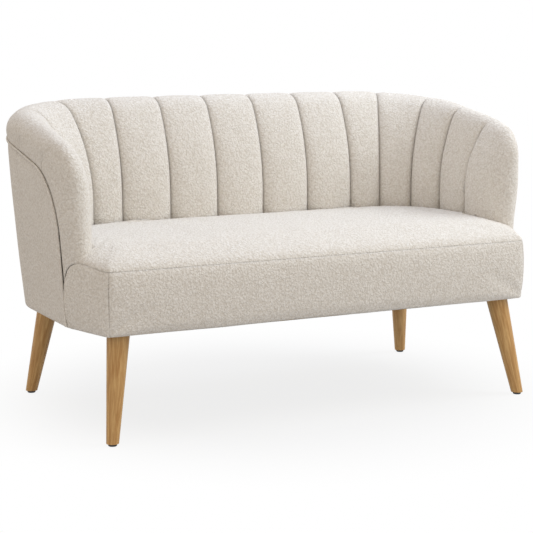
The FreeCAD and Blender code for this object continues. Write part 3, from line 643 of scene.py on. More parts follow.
def stuff(patches, names, padding, depth, width, shade=1.0):
    """Swells patches, draws in their seams by a depth, paints shade along them and makes each the padded
    piece of a solid.
    """
    if padding.pressure:
        inflate(patches, padding.pressure, padding.swell_limit)
    for patch, name in zip(patches, names):
        patch.unsettle(padding.lump_height, padding.lump_size)
        patch.sink_seams(depth, width, shade)
        upholster(patch, name, padding)


def settle(piece, name, material):
    """Fixes a finished piece to the object in place of its plain solid."""
    piece.data.materials.append(material)
    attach(piece, "root")
    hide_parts(name)


# Materials

def node(tree, kind, settings=None):
    """Adds a node; a setting is a property, or an input that is set or linked to another's output."""
    made = tree.nodes.new("ShaderNode" + kind)
    for key, value in (settings or {}).items():
        if isinstance(value, bpy.types.NodeSocket):
            tree.links.new(value, made.inputs[key])
        elif isinstance(key, int) or key in made.inputs:
            made.inputs[key].default_value = value
        else:
            setattr(made, key, value)
    return made


def new_material(name):
    """An empty material, and the object's own coordinates."""
    material = bpy.data.materials.new(name)
    material.use_nodes = True
    tree = material.node_tree
    tree.nodes.clear()
    return material, tree, node(tree, "TexCoord").outputs["Object"]


def solid(rgb):
    return (*rgb, 1.0)


def scaled(rgb, share):
    return solid(min(1.0, value * share) for value in rgb)


def maths(tree, operation, *values):
    return node(tree, "Math", {"operation": operation, **dict(enumerate(values))}).outputs[0]


def vector_maths(tree, operation, *values):
    return node(tree, "VectorMath", {"operation": operation, **dict(enumerate(values))}).outputs["Vector"]


def blend(tree, share, dark, pale):
    return node(tree, "Mix", {"data_type": "RGBA", 0: share, 6: dark, 7: pale}).outputs[2]


def cloud(tree, size, detail, place, output="Fac", **settings):
    """Noise of a real size."""
    settings = {"Scale": 1 / size, "Detail": detail, "Vector": place, **settings}
    return node(tree, "TexNoise", settings).outputs[output]


def spread(tree, value, start, end, **settings):
    """A value's share of the way from a start to an end."""
    settings = {"From Min": start, "From Max": end, "Value": value, **settings}
    return node(tree, "MapRange", settings).outputs["Result"]


def surface(tree, base, height, strength, relief, settings):
    """Ends a material with its base colour, a bump and the other settings of its shader."""
    bump = node(tree, "Bump", {"Strength": strength, "Distance": relief, "Height": height})
    settings = {**settings, "Base Color": base, "Normal": bump.outputs["Normal"]}
    shader = node(tree, "BsdfPrincipled", settings)
    node(tree, "OutputMaterial", {"Surface": shader.outputs["BSDF"]})


def boucle():
    """Looped wool-look cloth: soft nubs with worm-like dips between them that are painted darker as shade,
    painted shade along the seams, and a pale sheen.
    """
    c = sizes().colours
    loop_size = 0.0055
    hollow_size = 0.008
    curl_size = 0.0019
    drift_size = 0.011
    drift = 0.006
    material, tree, place = new_material("looped_boucle_cloth")
    drifting = cloud(tree, drift_size, 2.0, place, "Color")
    bent = vector_maths(tree, "MULTIPLY_ADD", drifting, (drift, drift, drift), place)
    loops = node(tree, "TexVoronoi", {"feature": "SMOOTH_F1", "Scale": 1 / loop_size, "Smoothness": 0.35,
                                      "Vector": bent}).outputs["Distance"]
    nub = spread(tree, loops, 0.15, 0.75, **{"To Min": 1.0, "To Max": 0.0})
    away = maths(tree, "ABSOLUTE", maths(tree, "SUBTRACT", cloud(tree, hollow_size, 1.5, bent), 0.5))
    ridge = spread(tree, away, 0.0, 0.085, interpolation_type="SMOOTHSTEP")
    curls = cloud(tree, curl_size, 2.0, place)
    pile = maths(tree, "MULTIPLY_ADD", nub, 0.9, maths(tree, "MULTIPLY", ridge, 0.6))
    relief = maths(tree, "MULTIPLY_ADD", curls, 0.5, pile)
    # Painted shade in the pile: the lower the relief, the nearer the colour comes to the painted shade of
    # the dips
    pile_with_painted_shade = blend(tree, spread(tree, relief, 0.35, 1.75), solid(c.painted_hollow_shade), solid(c.loops))
    # Painted shade along the seams: near a seam the colour darkens towards the painted shade of the dips
    # at half its brightness
    seam = node(tree, "Attribute", {"attribute_name": "seam"}).outputs["Fac"]
    sewn = blend(tree, spread(tree, seam, 0.3, 1.0, **{"To Max": 0.5}), pile_with_painted_shade, scaled(c.painted_hollow_shade, 0.5))
    surface(tree, sewn, relief, 0.65, 0.0015,
            {"Roughness": 0.95, "IOR": 1.45, "Specular IOR Level": 0.1, "Sheen Weight": 0.12,
             "Sheen Roughness": 0.45, "Sheen Tint": solid(c.loops)})
    return material


def oak(name, lean):
    """Turned oak under matt lacquer: pale wood with thin darker bands and short pores along the leg."""
    c = sizes().colours
    band = 0.0052
    pore = 0.0011
    stretch = 0.05
    material, tree, place = new_material(name)
    turned = node(tree, "Mapping", {"vector_type": "TEXTURE", "Rotation": lean, "Vector": place})
    drawn = vector_maths(tree, "MULTIPLY", turned.outputs["Vector"], (1.0, 1.0, stretch))
    grain = spread(tree, cloud(tree, band, 4.0, drawn, Distortion=0.6), 0.36, 0.66)
    pores = spread(tree, cloud(tree, pore, 2.0, drawn), 0.3, 0.46, **{"To Min": 0.35})
    wood = blend(tree, maths(tree, "MULTIPLY", grain, pores), solid(c.oak_late), solid(c.oak_early))
    surface(tree, wood, pores, 0.25, 0.0003, {"Roughness": 0.5, "IOR": 1.5})
    return material


def speckled(name, rgb, settings, grain, relief=0.0003):
    """A plain material whose colour and surface vary a little at one grain size."""
    material, tree, place = new_material(name)
    grit = cloud(tree, grain, 3.0, place)
    surface(tree, blend(tree, grit, scaled(rgb, 0.88), scaled(rgb, 1.12)), grit, 0.4, relief, settings)
    return material


def sawn_wood(name, rgb, stretch):
    """Unfinished timber: faint streaks along the board."""
    streak = 0.004
    material, tree, place = new_material(name)
    streaks = cloud(tree, streak, 4.0, vector_maths(tree, "MULTIPLY", place, stretch))
    surface(tree, blend(tree, streaks, scaled(rgb, 0.72), solid(rgb)), streaks, 0.3, 0.0004,
            {"Roughness": 0.75, "IOR": 1.5})
    return material


def woven(name, rgb, thread, relief):
    """Plain weave: threads over and under each other, darker in the gaps."""
    wave_rate = 20
    material, tree, place = new_material(name)
    threads = [node(tree, "TexWave", {"bands_direction": direction, "Scale": 1 / (thread * wave_rate),
                                      "Distortion": 0.4, "Detail": 1.0, "Vector": place}).outputs["Fac"]
               for direction in ("X", "Y")]
    cross = maths(tree, "MAXIMUM", *threads)
    surface(tree, blend(tree, cross, scaled(rgb, 0.5), solid(rgb)), cross, 0.6, relief,
            {"Roughness": 0.9, "Specular IOR Level": 0.2})
    return material


def cloth():
    return bpy.data.materials.get("looped_boucle_cloth") or boucle()


def paint(material, *names):
    """Gives CAD pieces a material in place of their plain one."""
    for name in names:
        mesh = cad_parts[name].data
        mesh.materials.clear()
        mesh.materials.append(material)


# Padded back and arms

def crease_fade(index):
    """How tight a seam is along its section; those nearer the arm fronts fade out below the crest."""
    past_crest = 4
    earlier_per_seam = 3
    fade_steps = 7
    end = CREST + past_crest - earlier_per_seam * max(0, abs(index) - UPRIGHT_SEAMS)
    return 1 - eased(np.arange(sum(SECTION_STEPS) + 1), end - fade_steps, end)


def channel_patch(name, first, last):
    """One channel between two seams: full across its middle, with tight edges at the seams."""
    shares = crowded(CHANNEL_ROWS)
    start, end = np.array(seam_distances(first)), np.array(seam_distances(last))
    points = np.array([leaning_cover(*(start + (end - start) * share), 1 - abs(2 * share - 1) ** 3)
                       for share in shares])
    marks = seam_marks(points.shape, {0: seam_square(first), -1: seam_square(last)}, {-1: LEVEL})
    patch = Patch(name, points, marks)
    patch.tightness = np.where(shares[:, None] < 0.5, crease_fade(first), crease_fade(last))
    patch.tightness[:, -SECTION_STEPS[-1]:] = WELT_TIGHTNESS
    return patch


def nose_profile(turn, seam_y):
    """One station of an arm's end pad: up its front, over the shoulder and back to the seam."""
    a = sizes().arms
    rear = Wall(*seam_distances(SEAMS)[:2])
    share, swell = math.sin(turn), 1 - math.cos(turn)
    front = (a.outer_depth if share > 0 else a.inner_depth) * swell - a.front
    full = 1 - (1 - share ** 3) ** (1 / 3)
    top = rear.top - (a.outer_roll * full if share > 0 else a.inner_roll * swell)
    shoulder = top - a.slope * (rear.crest[1] - front)
    lean = math.atan(a.slope)
    radius = min(a.shoulder, (shoulder - a.bottom) / 2, seam_y - front)
    middle = (front + radius, shoulder - radius * math.tan(math.pi / 4 - lean / 2))
    up, over, back = NOSE_STEPS
    bend = arc(middle, radius, 0, QUARTER - lean, over)
    end = (seam_y, top + a.slope * (seam_y - rear.crest[1]))
    profile = np.concatenate((np.linspace((front, a.bottom), bend[0], up + 1)[:-1], bend,
                              np.linspace(bend[-1], end, back + 1)[1:]))
    return np.array([through_arm(share, y, z) for y, z in profile])


def through_arm(share, y, z):
    """A point in the arm at a share of its thickness: -1 the inner face, 1 the outer."""
    outside = outside_path(z)[0]
    middle = outside - sizes().arms.outer_half
    inside = sizes().inside.seat_half_width - sizes().inside.crown
    x = middle + share * (outside - middle if share > 0 else middle - inside)
    return x, y, z


def fit_pad(pad, turns, wall):
    """Draws the pad's edges to the wall behind it, the border below it and the welt outside it."""
    s = sizes().seat
    foot_steps = 10
    columns = np.arange(pad.shape[1])
    pad += (wall - pad[:, -1])[:, None] * eased(columns, NOSE_STEPS[0], columns[-1])[:, None]
    outer = eased(turns, 0, math.pi / 6)
    foot = np.array([(border_face_x(y, border_top(y)), y, border_top(y)) for y in pad[:, 0, 1]])
    foot -= (s.seam_sink, 0.0, s.seam_sink)
    near_foot = 1 - eased(columns, 0, foot_steps)
    pad += (foot - pad[:, 0])[:, None] * (outer[:, None] * near_foot)[..., None]
    edge = matched(pad[-1, :, 1:], arm_edge(wall[-1, 1]))
    edge = np.column_stack((outside_path(edge[:, 1])[0], edge))
    pad += (edge - pad[-1])[None] * eased(turns, 0, QUARTER)[:, None, None]


def inner_rows(pad, wall):
    """The pad's inner face, from the wall behind it to its nose."""
    heights = np.linspace(sizes().arms.bottom, wall[-1, 2], pad.shape[1])
    rear = np.column_stack([np.interp(heights, wall[:, 2], axis) for axis in wall.T])
    return np.array([rear + (pad[0] - rear) * share for share in np.linspace(0, 1, INNER_ROWS + 1)[:-1]])


def draw_in(points, line, shift):
    """Draws rows of points near a line to a seam, each row by its shift, as a channel falls to its own."""
    gaps = np.linalg.norm(points[:, :, None] - line, axis=-1).min(-1)
    drop = np.clip(1 - gaps / (sizes().inside.arm_channel / 2), 0, 1) ** 3
    points += shift[:, None] * drop[..., None]


def end_pad_patch(name):
    """The right arm's end pad: from the channel seam round the nose to the welt."""
    seat, crest, lean = seam_distances(SEAMS)
    seam, wall = leaning_cover(seat, crest, lean, 0), leaning_cover(seat, crest, lean, 1)
    start = np.searchsorted(wall[:CREST, 2], crest_top(crest) - sizes().arms.inner_roll)
    turns = np.concatenate((np.linspace(-QUARTER, 0, CREST - start + 1)[:-1],
                            np.linspace(0, QUARTER, len(wall) - CREST)))
    pad = np.array([nose_profile(turn, y) for turn, y in zip(turns, wall[start:, 1])])
    fit_pad(pad, turns, wall[start:])
    inner = inner_rows(pad, wall[:start + 1])
    points = np.concatenate((inner, pad))
    rows = np.concatenate((np.full(len(inner), start), np.arange(start, len(wall))))
    draw_in(points, np.vstack((inner[0], wall[start:])), (seam - wall)[rows])
    points[..., 1] = np.minimum(points[..., 1], seam[rows, None, 1])
    square = seam_square(SEAMS)
    marks = seam_marks(points.shape, {0: square}, {-1: square})
    marks[-1] = unit(np.gradient(points[-1], axis=0))[:, [0, 2, 1]] * (0, -1, 1)
    patch = Patch(name, points, marks)
    patch.tightness = np.interp(points[..., 2], seam[:CREST, 2], crease_fade(SEAMS)[:CREST])
    patch.tightness[len(inner) + CREST - start:] = 0
    patch.tightness[-SECTION_STEPS[-1]:] = WELT_TIGHTNESS
    return patch


class LOVESEAT_OT_back(Operator):
    """Sews and pads the channels of the back and arms"""
    bl_idname = "loveseat.back"
    bl_label = "Channelled back"

    def execute(self, context):
        b = sizes().inside
        patches = [channel_patch("back_middle", -1, 1)]
        names = ["back_channel_middle"]
        for index in range(1, SEAMS):
            patches += channel_patch(f"back_{index}_right", index, index + 1).with_twin()
            names += sides(f"back_channel_{index}")
        stuff(patches, names, BACK_PADDING, b.crease, b.crease_width)
        return {"FINISHED"}


class LOVESEAT_OT_arms(Operator):
    """Pads the arm fronts"""
    bl_idname = "loveseat.arms"
    bl_label = "Arm end pads"

    def execute(self, context):
        b = sizes().inside
        pads = end_pad_patch("arm_pad_right").with_twin()
        stuff(pads, sides("arm_end_pad"), ARM_PADDING, b.crease, b.crease_width)
        return {"FINISHED"}


# Closed outlines, with each corner as (x, y, radius)

def ring(corners, counts, per_corner=5):
    """A closed outline with rounded corners, from the middle of its last edge, with counts per edge."""
    points = np.array([c[:2] for c in corners])
    arcs = []
    for i, corner in enumerate(corners):
        after = points[(i + 1) % len(points)]
        arcs.append(corner_arc(points[i - 1], points[i], after, corner[2], per_corner))
    outline = []
    for i, bend in enumerate(arcs):
        edge = np.linspace(bend[-1], arcs[(i + 1) % len(arcs)][0], counts[i] + 2)[1:-1]
        outline += [bend, edge]
    return np.roll(np.concatenate(outline), counts[-1] // 2, axis=0)


def both_sides(corners):
    return list(corners) + [(-c[0], *c[1:]) for c in reversed(corners)]


def edge_counts(corners, pitch):
    points = np.array([c[:2] for c in corners])
    spans = np.linalg.norm(np.roll(points, -1, 0) - points, axis=1)
    return [2 * max(1, int(span / pitch / 2)) for span in spans]


def to_spine(outline, share):
    """Moves an outline towards the line along its middle, where its front meets its rear."""
    half = (outline.max(0) - outline.min(0)) / 2
    middle = (outline.max(0) + outline.min(0)) / 2
    opposite = np.roll(outline[::-1], len(outline) // 2, axis=0)
    along_spine = (outline[:, 0] + opposite[:, 0]) / 2
    spine = np.column_stack((np.clip(along_spine, half[1] - half[0], half[0] - half[1]),
                             np.full(len(outline), middle[1])))
    return outline * (1 - share) + spine * share


def level(outline, height):
    return np.column_stack((outline, np.full(len(outline), height)))


# Seat

def nose_edge(turn):
    """The seat's edge round an arm's nose; a turn of 0 is the nose's front, a quarter its inside."""
    s, a = sizes().seat, sizes().arms
    y = a.inner_depth * (1 - math.cos(turn)) - a.front
    x = through_arm(-math.sin(turn), y, s.seam)[0]
    return x - s.clearance * math.sin(turn), y - s.clearance * math.cos(turn), s.nose_round


def seat_corners():
    """The seat in plan at its top seam: to the arm fronts, round their noses and between the arms."""
    s, b = sizes().seat, sizes().inside
    inset = b.crown + s.clearance
    nose = sizes().arms.front + s.clearance
    around = [nose_edge(math.radians(degrees)) for degrees in (20, 45, 70, 90)]
    return [(s.half_front, -s.front, s.front_corner), (border_face_x(-nose, s.seam), -nose, s.seam_sink),
            *around, (b.seat_half_width - inset, b.seat_back - inset, b.seat_corner - inset)]


def plateau_corners():
    """The level middle of the seat's top, with a corner for each corner of its seam."""
    s = sizes().seat
    *others, last = seat_corners()
    corners = []
    for turn in np.linspace(0, QUARTER, len(others)):
        x = last[0] - s.plateau_x * (1 - math.sin(turn))
        y = s.plateau_setback - s.front + s.plateau_y * (1 - math.cos(turn))
        corners.append((x, y, s.plateau_round))
    return corners + [last]


def seat_patch():
    """The crowned top of the seat, ring by ring from its seam to the middle."""
    s = sizes().seat
    seam, plateau = both_sides(seat_corners()), both_sides(plateau_corners())
    counts = edge_counts(seam, SEAT_PITCH)
    edge = seat_edge_height(ring(seam, counts)[:, 1])
    rings = []
    for turn in np.linspace(0, QUARTER, CROWN_RINGS):
        share = 1 - math.cos(turn)
        corners = [tuple(a + (b - a) * share for a, b in zip(p, q)) for p, q in zip(seam, plateau)]
        rings.append(np.column_stack((ring(corners, counts), edge + (s.top - edge) * math.sin(turn))))
    inner = rings[-1][:, :2]
    for share in np.linspace(0, 1, TOP_RINGS + 1)[1:]:
        rings.append(level(to_spine(inner, share), s.top + s.dome * (1 - (1 - share) ** 2)))
    points = np.stack(rings, 1)
    return Patch("seat_top", points, seam_marks(points.shape, None, {0: LEVEL}), closed=True)


def cover_profile(top, bulge, steps):
    """A cover as (distance out, height over the frame's bottom), from under the frame to its top."""
    edge = sizes().seat.border_edge
    tucked = (-1.4, -1.2)
    edge_points = 6
    turns = np.linspace(0, QUARTER, edge_points)
    under = [(share * edge, 0.0) for share in tucked]
    under += [(edge * (math.sin(turn) - 1), edge * (1 - math.cos(turn))) for turn in turns]
    shares = np.linspace(0, 1, steps + 1)[1:]
    return under + [(bulge * 4 * share * (1 - share), edge + (top - edge) * share) for share in shares]


def border_patch(name, plan, tops, leans):
    """A border along a plan line: tucked under the frame, up its face to the seat's seam."""
    s, bottom = sizes().seat, sizes().outside.bottom
    tangent = unit(np.gradient(plan, axis=0))
    outward = tangent[:, ::-1] * (1, -1)
    rows = []
    for point, normal, top, lean in zip(plan, outward, tops, leans):
        profile = np.array(cover_profile(top - bottom, s.border_bulge, BORDER_STEPS))
        flat = point + (profile[:, :1] + lean * profile[:, 1:]) * normal
        rows.append(np.column_stack((flat, bottom + profile[:, 1])))
    points = np.array(rows)
    ends = {0: (*tangent[0], 0.0), -1: (*tangent[-1], 0.0)}
    return Patch(name, points, seam_marks(points.shape, ends, {-1: LEVEL}))


def border_lean(y):
    """How much a side border leans out: upright in front, and like the arm's outside at its rear."""
    s, o = sizes().seat, sizes().outside
    return o.arm_flare * (y + s.front) / (s.front + o.arm_front)


def border_face_x(y, z):
    """Where the outside of a side border lies at a place from front to back and a height."""
    s, o = sizes().seat, sizes().outside
    foot = s.half_front + (o.half_width - s.half_front) * (y + s.front) / (s.front + o.arm_front)
    return foot + border_lean(y) * (z - o.bottom)


def side_seam_height(y):
    """Height of the seam over a side border, which rises a little from the front to the arm."""
    s = sizes().seat
    return s.seam + s.side_rise * eased(y, -s.front, -sizes().arms.front)


def seat_edge_height(y):
    """Height of the seat's edge: along its seam in front, and higher where it is tucked in."""
    s, a = sizes().seat, sizes().arms
    beside = side_seam_height(y) + s.tuck_rise * eased(y, -a.front, a.inner_depth / 2 - a.front)
    behind = eased(y, a.inner_depth / 2 - a.front, a.inner_depth - a.front)
    return beside + (s.top - s.rear_tuck - beside) * behind


def border_top(y):
    """Height of a side border, whose rear corner is rounded down under the arm's pad."""
    s = sizes().seat
    turn = np.clip((y + sizes().arms.front) / sizes().arms.outer_depth, 0, 1)
    return side_seam_height(y) - (s.side_rise + s.border_drop) * (1 - np.sqrt(1 - turn ** 2))


def border_patches():
    """The front border and the side borders, which share the rounded front corners."""
    s, o = sizes().seat, sizes().outside
    front_points, side_points, corner_points = 95, 41, 9
    rows_at_welt = 6
    corner = np.array((s.half_front, -s.front))
    rear = np.array((o.half_width, o.arm_front))
    bend = corner_arc(corner - (1, 0), corner, rear, s.front_corner, corner_points)
    half = len(bend) // 2
    right_end = bend[:half + 1]
    left_end = right_end[::-1] * (-1, 1)
    between = spaced(left_end[-1], right_end[0], front_points)[1:-1]
    front = np.concatenate((left_end, between, right_end))
    upright = np.zeros(len(front))
    patches = [border_patch("border_front", front, upright + s.seam, upright)]
    side = np.concatenate((bend[half:], spaced(bend[-1], rear, side_points)[1:]))
    right = border_patch("border_side_right", side, border_top(side[:, 1]), border_lean(side[:, 1]))
    right.tightness[-rows_at_welt:] = o.welt_sink / s.seam_sink
    return patches + right.with_twin()


class LOVESEAT_OT_seat(Operator):
    """Pads the tight seat and its borders"""
    bl_idname = "loveseat.seat"
    bl_label = "Seat and borders"

    def execute(self, context):
        s = sizes().seat
        patches = [seat_patch()] + border_patches()
        names = ["seat_top_cover", "seat_front_border"] + sides("seat_side_border")
        stuff(patches, names, SEAT_PADDING, s.seam_sink, s.seam_width, shade=0.6)
        return {"FINISHED"}


# Outside covers and welt

def arm_cover_patch(name):
    """The right arm's outside cover, under the welt's bend in front."""
    rear_points = 15
    edge = arm_edge(sizes().outside.arm_rear)
    edge = np.concatenate((edge[FRONT_STEPS:-1], spaced(edge[-2], edge[-1], rear_points)[1:]))
    rows = []
    for y, top in edge:
        rows.append([(outside_path(z)[0] + out, y, z) for out, z in outside_profile(top)])
    points = np.array(rows)
    return Patch(name, points, seam_marks(points.shape, {0: DEEP}, {-1: LEVEL}))


def outside_profile(top):
    """An outside cover as (distance out, height), up to the welt."""
    o = sizes().outside
    profile = cover_profile(top - o.bottom, o.bulge, COVER_STEPS)
    return [(out, o.bottom + height) for out, height in profile]


def round_the_back(height, out, share):
    """A point on the outside from the right arm's seam round the back to the left one's."""
    on_side, on_corner = 0.1, 0.4
    half, back, radius = outside_path(height)
    x, y = half - radius, back - radius
    side = 1 if share <= 0.5 else -1
    share = 1 - abs(2 * share - 1)
    if share < on_side:
        rear = sizes().outside.arm_rear
        return side * (half + out), rear + (y - rear) * share / on_side
    if share < on_side + on_corner:
        turn = (share - on_side) / on_corner * QUARTER
        return side * (x + (radius + out) * math.cos(turn)), y + (radius + out) * math.sin(turn)
    return side * x * (1 - share) / (1 - on_side - on_corner), back + out


def back_cover_patch():
    rows = []
    for share in np.linspace(0, 1, BACK_ROWS):
        edge_y = round_the_back(sizes().outside.welt_height, 0, share)[1]
        profile = outside_profile(welt_height(edge_y))
        rows.append([(*round_the_back(z, out, share), z) for out, z in profile])
    points = np.array(rows)
    return Patch("outside_back_cover", points, seam_marks(points.shape, None, {-1: LEVEL}))


def welt_line():
    """Points along the welt, from the right arm's front foot round the back to the left one's."""
    o = sizes().outside
    rear_points = 40
    proud_share = 0.6
    edge = arm_edge(o.arm_rear)[:-1]
    arm = np.concatenate(([(o.arm_front, o.bottom + 2 * o.welt_radius)], edge))
    proud = proud_share * o.welt_radius * (1 - eased(arm[:, 0], o.arm_front, o.arm_rear))
    line = [(outside_path(z)[0] + out, y, z) for (y, z), out in zip(arm, proud)]
    for share in np.linspace(0, 0.5, rear_points):
        height = welt_height(round_the_back(o.welt_height, 0, share)[1])
        line.append((*round_the_back(height, 0, share), height))
    return np.concatenate((line, np.array(line)[-2::-1] * (-1, 1, 1)))


class LOVESEAT_OT_outside(Operator):
    """Covers the outside of the arms and back and runs the welt along their edge"""
    bl_idname = "loveseat.outside"
    bl_label = "Outside covers and welt"

    def execute(self, context):
        depth, width = sizes().outside.welt_sink, sizes().seat.seam_width
        patches = [*arm_cover_patch("outside_arm_cover_right").with_twin(), back_cover_patch()]
        names = sides("outside_arm") + ["outside_back"]
        stuff(patches, names, COVER_PADDING, depth, width, shade=0.7)
        self.run_welt()
        return {"FINISHED"}

    def run_welt(self):
        curve = bpy.data.curves.new("welt", "CURVE")
        curve.dimensions = "3D"
        curve.bevel_depth = sizes().outside.welt_radius
        curve.bevel_resolution = 4
        curve.use_fill_caps = True
        line = welt_line()
        spline = curve.splines.new("POLY")
        spline.points.add(len(line) - 1)
        for point, place in zip(spline.points, line):
            point.co = (*place, 1.0)
        welt = bpy.data.objects.new("welt", curve)
        bpy.context.scene.collection.objects.link(welt)
        make_active(welt)
        bpy.ops.object.convert(target="MESH")
        bpy.ops.object.shade_smooth()
        settle(welt, "outside_welt", cloth())


# Pieces inside and under the frame

class LOVESEAT_OT_lining(Operator):
    """Lays the foam, felt, hessian and dust cloth"""
    bl_idname = "loveseat.lining"
    bl_label = "Lining and dust cloth"

    def execute(self, context):
        c = sizes().colours
        matt = {"Roughness": 0.95}
        self.lay_slab("seat_foam", "foam", speckled("open_cell_foam", c.foam, matt, grain=0.002))
        self.lay_slab("deck_felt", "felt", speckled("pressed_felt", c.felt, matt, grain=0.003))
        self.hang_hessian()
        self.staple_dust_cloth()
        return {"FINISHED"}

    def slab_corners(self, name):
        """The right half of a layer's plan: the foam follows the seat, the felt the rails."""
        if name == "seat_foam":
            inset = 0.016
            return [(x - inset, y - math.copysign(inset, y), radius) for x, y, radius in seat_corners()]
        margin = 0.004
        cut_y, cut_x = 0.02, 0.36
        side, front, rear = high(name, 0) - margin, low(name, 1) + margin, high(name, 1) - margin
        return [(side, front, 0.03), (side, cut_y, 0.05), (cut_x, rear, 0.08)]

    def lay_slab(self, name, slot, material):
        """A flat layer under the seat's top, a little inside its plain solid."""
        play = 0.0004
        pitch = 0.03
        inward = (0.02, 0.3, 0.6, 1)
        corners = both_sides(self.slab_corners(name))
        outline = ring(corners, edge_counts(corners, pitch))
        bottom, top = low(name) + play, high(name) - play
        rings = [level(to_spine(outline, share), bottom) for share in reversed(inward)]
        rings += [level(outline, z) for z in np.linspace(bottom, top, 5)[1:-1]]
        rings += [level(to_spine(outline, share), top) for share in inward]
        piece = Patch(name + "_layer", np.stack(rings, 1), closed=True).piece()
        make_active(piece)
        bpy.ops.object.mode_set(mode="EDIT")
        bpy.ops.mesh.select_all(action="SELECT")
        bpy.ops.mesh.normals_make_consistent(inside=False)
        bpy.ops.object.mode_set(mode="OBJECT")
        settle(piece, name, material)

    def stretch(self, patch, name, slot, material, thickness):
        """Makes a thin cloth of a patch, in place of its plain solid."""
        piece = patch.piece()
        thicken(piece, thickness)
        settle(piece, name, material)
        return piece

    def hang_hessian(self):
        """Jute cloth stretched behind the channels, on the inside of the frame."""
        b = sizes().inside
        behind_seams = 0.0153
        below_padding = 0.024
        play = 0.001
        points_up = 15
        lowest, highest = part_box("inside_hessian")
        rows = []
        for share in np.linspace(-1, 1, HESSIAN_ROWS):
            wall = Wall(*[share * d for d in seam_distances(SEAMS)[:2]])
            front, _, radius, _, _ = wall.face(0.0, behind_seams)
            heights = np.linspace(lowest.z + play, wall.top - b.padding - below_padding, points_up)
            rise = np.maximum(heights - b.bend_height, 0)
            depth = front + radius - np.sqrt(radius ** 2 - rise ** 2)
            rows.append(wall.place(np.column_stack((depth, heights))))
        patch = Patch("hessian_lining", rows)
        jute = woven("jute_hessian", sizes().colours.jute, thread=0.0022, relief=0.0005)
        piece = self.stretch(patch, "inside_hessian", "hessian", jute, thickness=0.001)

    def staple_dust_cloth(self):
        """Thin black cloth under the frame, sagging a little between its staples."""
        lowest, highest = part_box("dust_cover")
        sag = 0.0025
        corner = 0.01
        pitch = 0.02
        s, o = sizes().seat, sizes().outside
        half, _, radius = outside_path(o.bottom)
        inset = half - highest.x
        corners = both_sides([(s.half_front - inset, lowest.y, corner),
                              (highest.x, o.arm_front + inset, corner),
                              (highest.x, highest.y, radius - inset)])
        outline = ring(corners, edge_counts(corners, pitch))
        rings = [level(to_spine(outline, share), lowest.z - sag * (1 - (1 - share) ** 2))
                 for share in np.linspace(0, 1, 11)]
        patch = Patch("dust_cloth", np.stack(rings, 1)[::-1], closed=True)
        black = woven("black_dust_cloth", sizes().colours.dust, thread=0.0012, relief=0.0001)
        piece = self.stretch(patch, "dust_cover", "dust_cloth", black, thickness=0.0006)


class LOVESEAT_OT_legs(Operator):
    """Finishes the turned legs, their glides and bolts"""
    bl_idname = "loveseat.legs"
    bl_label = "Legs and glides"

    def execute(self, context):
        c = sizes().colours
        splay_across, splay_deep = 0.152, 0.202
        across, deep = math.atan(splay_across), math.atan(splay_deep)
        for end, lean_y in (("front", -deep), ("rear", deep)):
            for side, lean_x in (("right", -across), ("left", across)):
                paint(oak(f"turned_oak_{end}_{side}", (lean_y, lean_x, 0.0)), f"leg_{end}_{side}")
        nylon = speckled("moulded_nylon", c.nylon, {"Roughness": 0.45, "IOR": 1.53}, grain=0.0008,
                         relief=0.0001)
        plated = speckled("zinc_plated_steel", c.zinc, {"Roughness": 0.35, "Metallic": 1.0}, grain=0.0006,
                          relief=0.0001)
        paint(nylon, "leg_glides")
        paint(plated, "hanger_bolts", "t_nuts")
        return {"FINISHED"}


class LOVESEAT_OT_frame(Operator):
    """Finishes the timber frame and the webbing inside the upholstery"""
    bl_idname = "loveseat.frame"
    bl_label = "Frame and webbing"

    def execute(self, context):
        c = sizes().colours
        across = sawn_wood("planed_timber_across", c.pine, (0.05, 1.0, 1.0))
        deep = sawn_wood("planed_timber_deep", c.pine, (1.0, 0.05, 1.0))
        upright = sawn_wood("planed_timber_upright", c.pine, (1.0, 1.0, 0.05))
        plywood = sawn_wood("birch_plywood", c.plywood, (1.0, 0.08, 0.3))
        paint(across, "front_rail", "back_rail", "top_rail", *sides("front_corner_block"),
              *sides("rear_corner_block"))
        paint(deep, "centre_rail", *sides("side_rail"))
        paint(upright, *sides("arm_post_front"), *sides("arm_post_rear"))
        paint(plywood, *sides("arm_panel"), *sides("back_rib_inner"), *sides("back_rib_outer"),
              *sides("top_corner_bow"))
        webbing = woven("woven_webbing", c.strap, thread=0.0025, relief=0.0004)
        paint(webbing, "seat_webbing_long", "seat_webbing_cross")
        return {"FINISHED"}


# Stage

EYE = Vector((-1.8246, -3.6092, 0.9788))
TARGET = Vector((-0.021, -0.021, 0.3337))
LENS = 107.46
LIGHT_TARGET = Vector((0.0, 0.0, 0.4))
WHITE = (1.0, 1.0, 1.0, 1.0)
WARM = (1.0, 0.9, 0.79)
COOL = (0.88, 0.95, 1.0)
BLUE = (0.5, 0.68, 1.0)


def aim(piece, place, target):
    piece.location = place
    piece.rotation_euler = (target - place).to_track_quat("-Z", "Y").to_euler()
    bpy.context.scene.collection.objects.link(piece)


def area_light(name, place, size, power, tint):
    data = bpy.data.lights.new(name, "AREA")
    data.color = tint
    data.shape = "RECTANGLE"
    data.size = size
    data.size_y = size
    data.energy = power
    aim(bpy.data.objects.new(name, data), Vector(place), LIGHT_TARGET)


def mixed_output(tree, kind, share, first, second):
    """Ends a tree with two shaders mixed: all of the first at a share of 0, all of the second at 1."""
    mixed = node(tree, "MixShader", {0: share, 1: first.outputs[0], 2: second.outputs[0]})
    node(tree, kind, {"Surface": mixed.outputs[0]})


def seen_directly(tree):
    """1 where the camera, a reflection or glass looks, 0 where light only bounces."""
    rays = node(tree, "LightPath").outputs
    mirrored = maths(tree, "MAXIMUM", rays["Is Camera Ray"], rays["Is Glossy Ray"])
    return maths(tree, "MAXIMUM", mirrored, rays["Is Transmission Ray"])


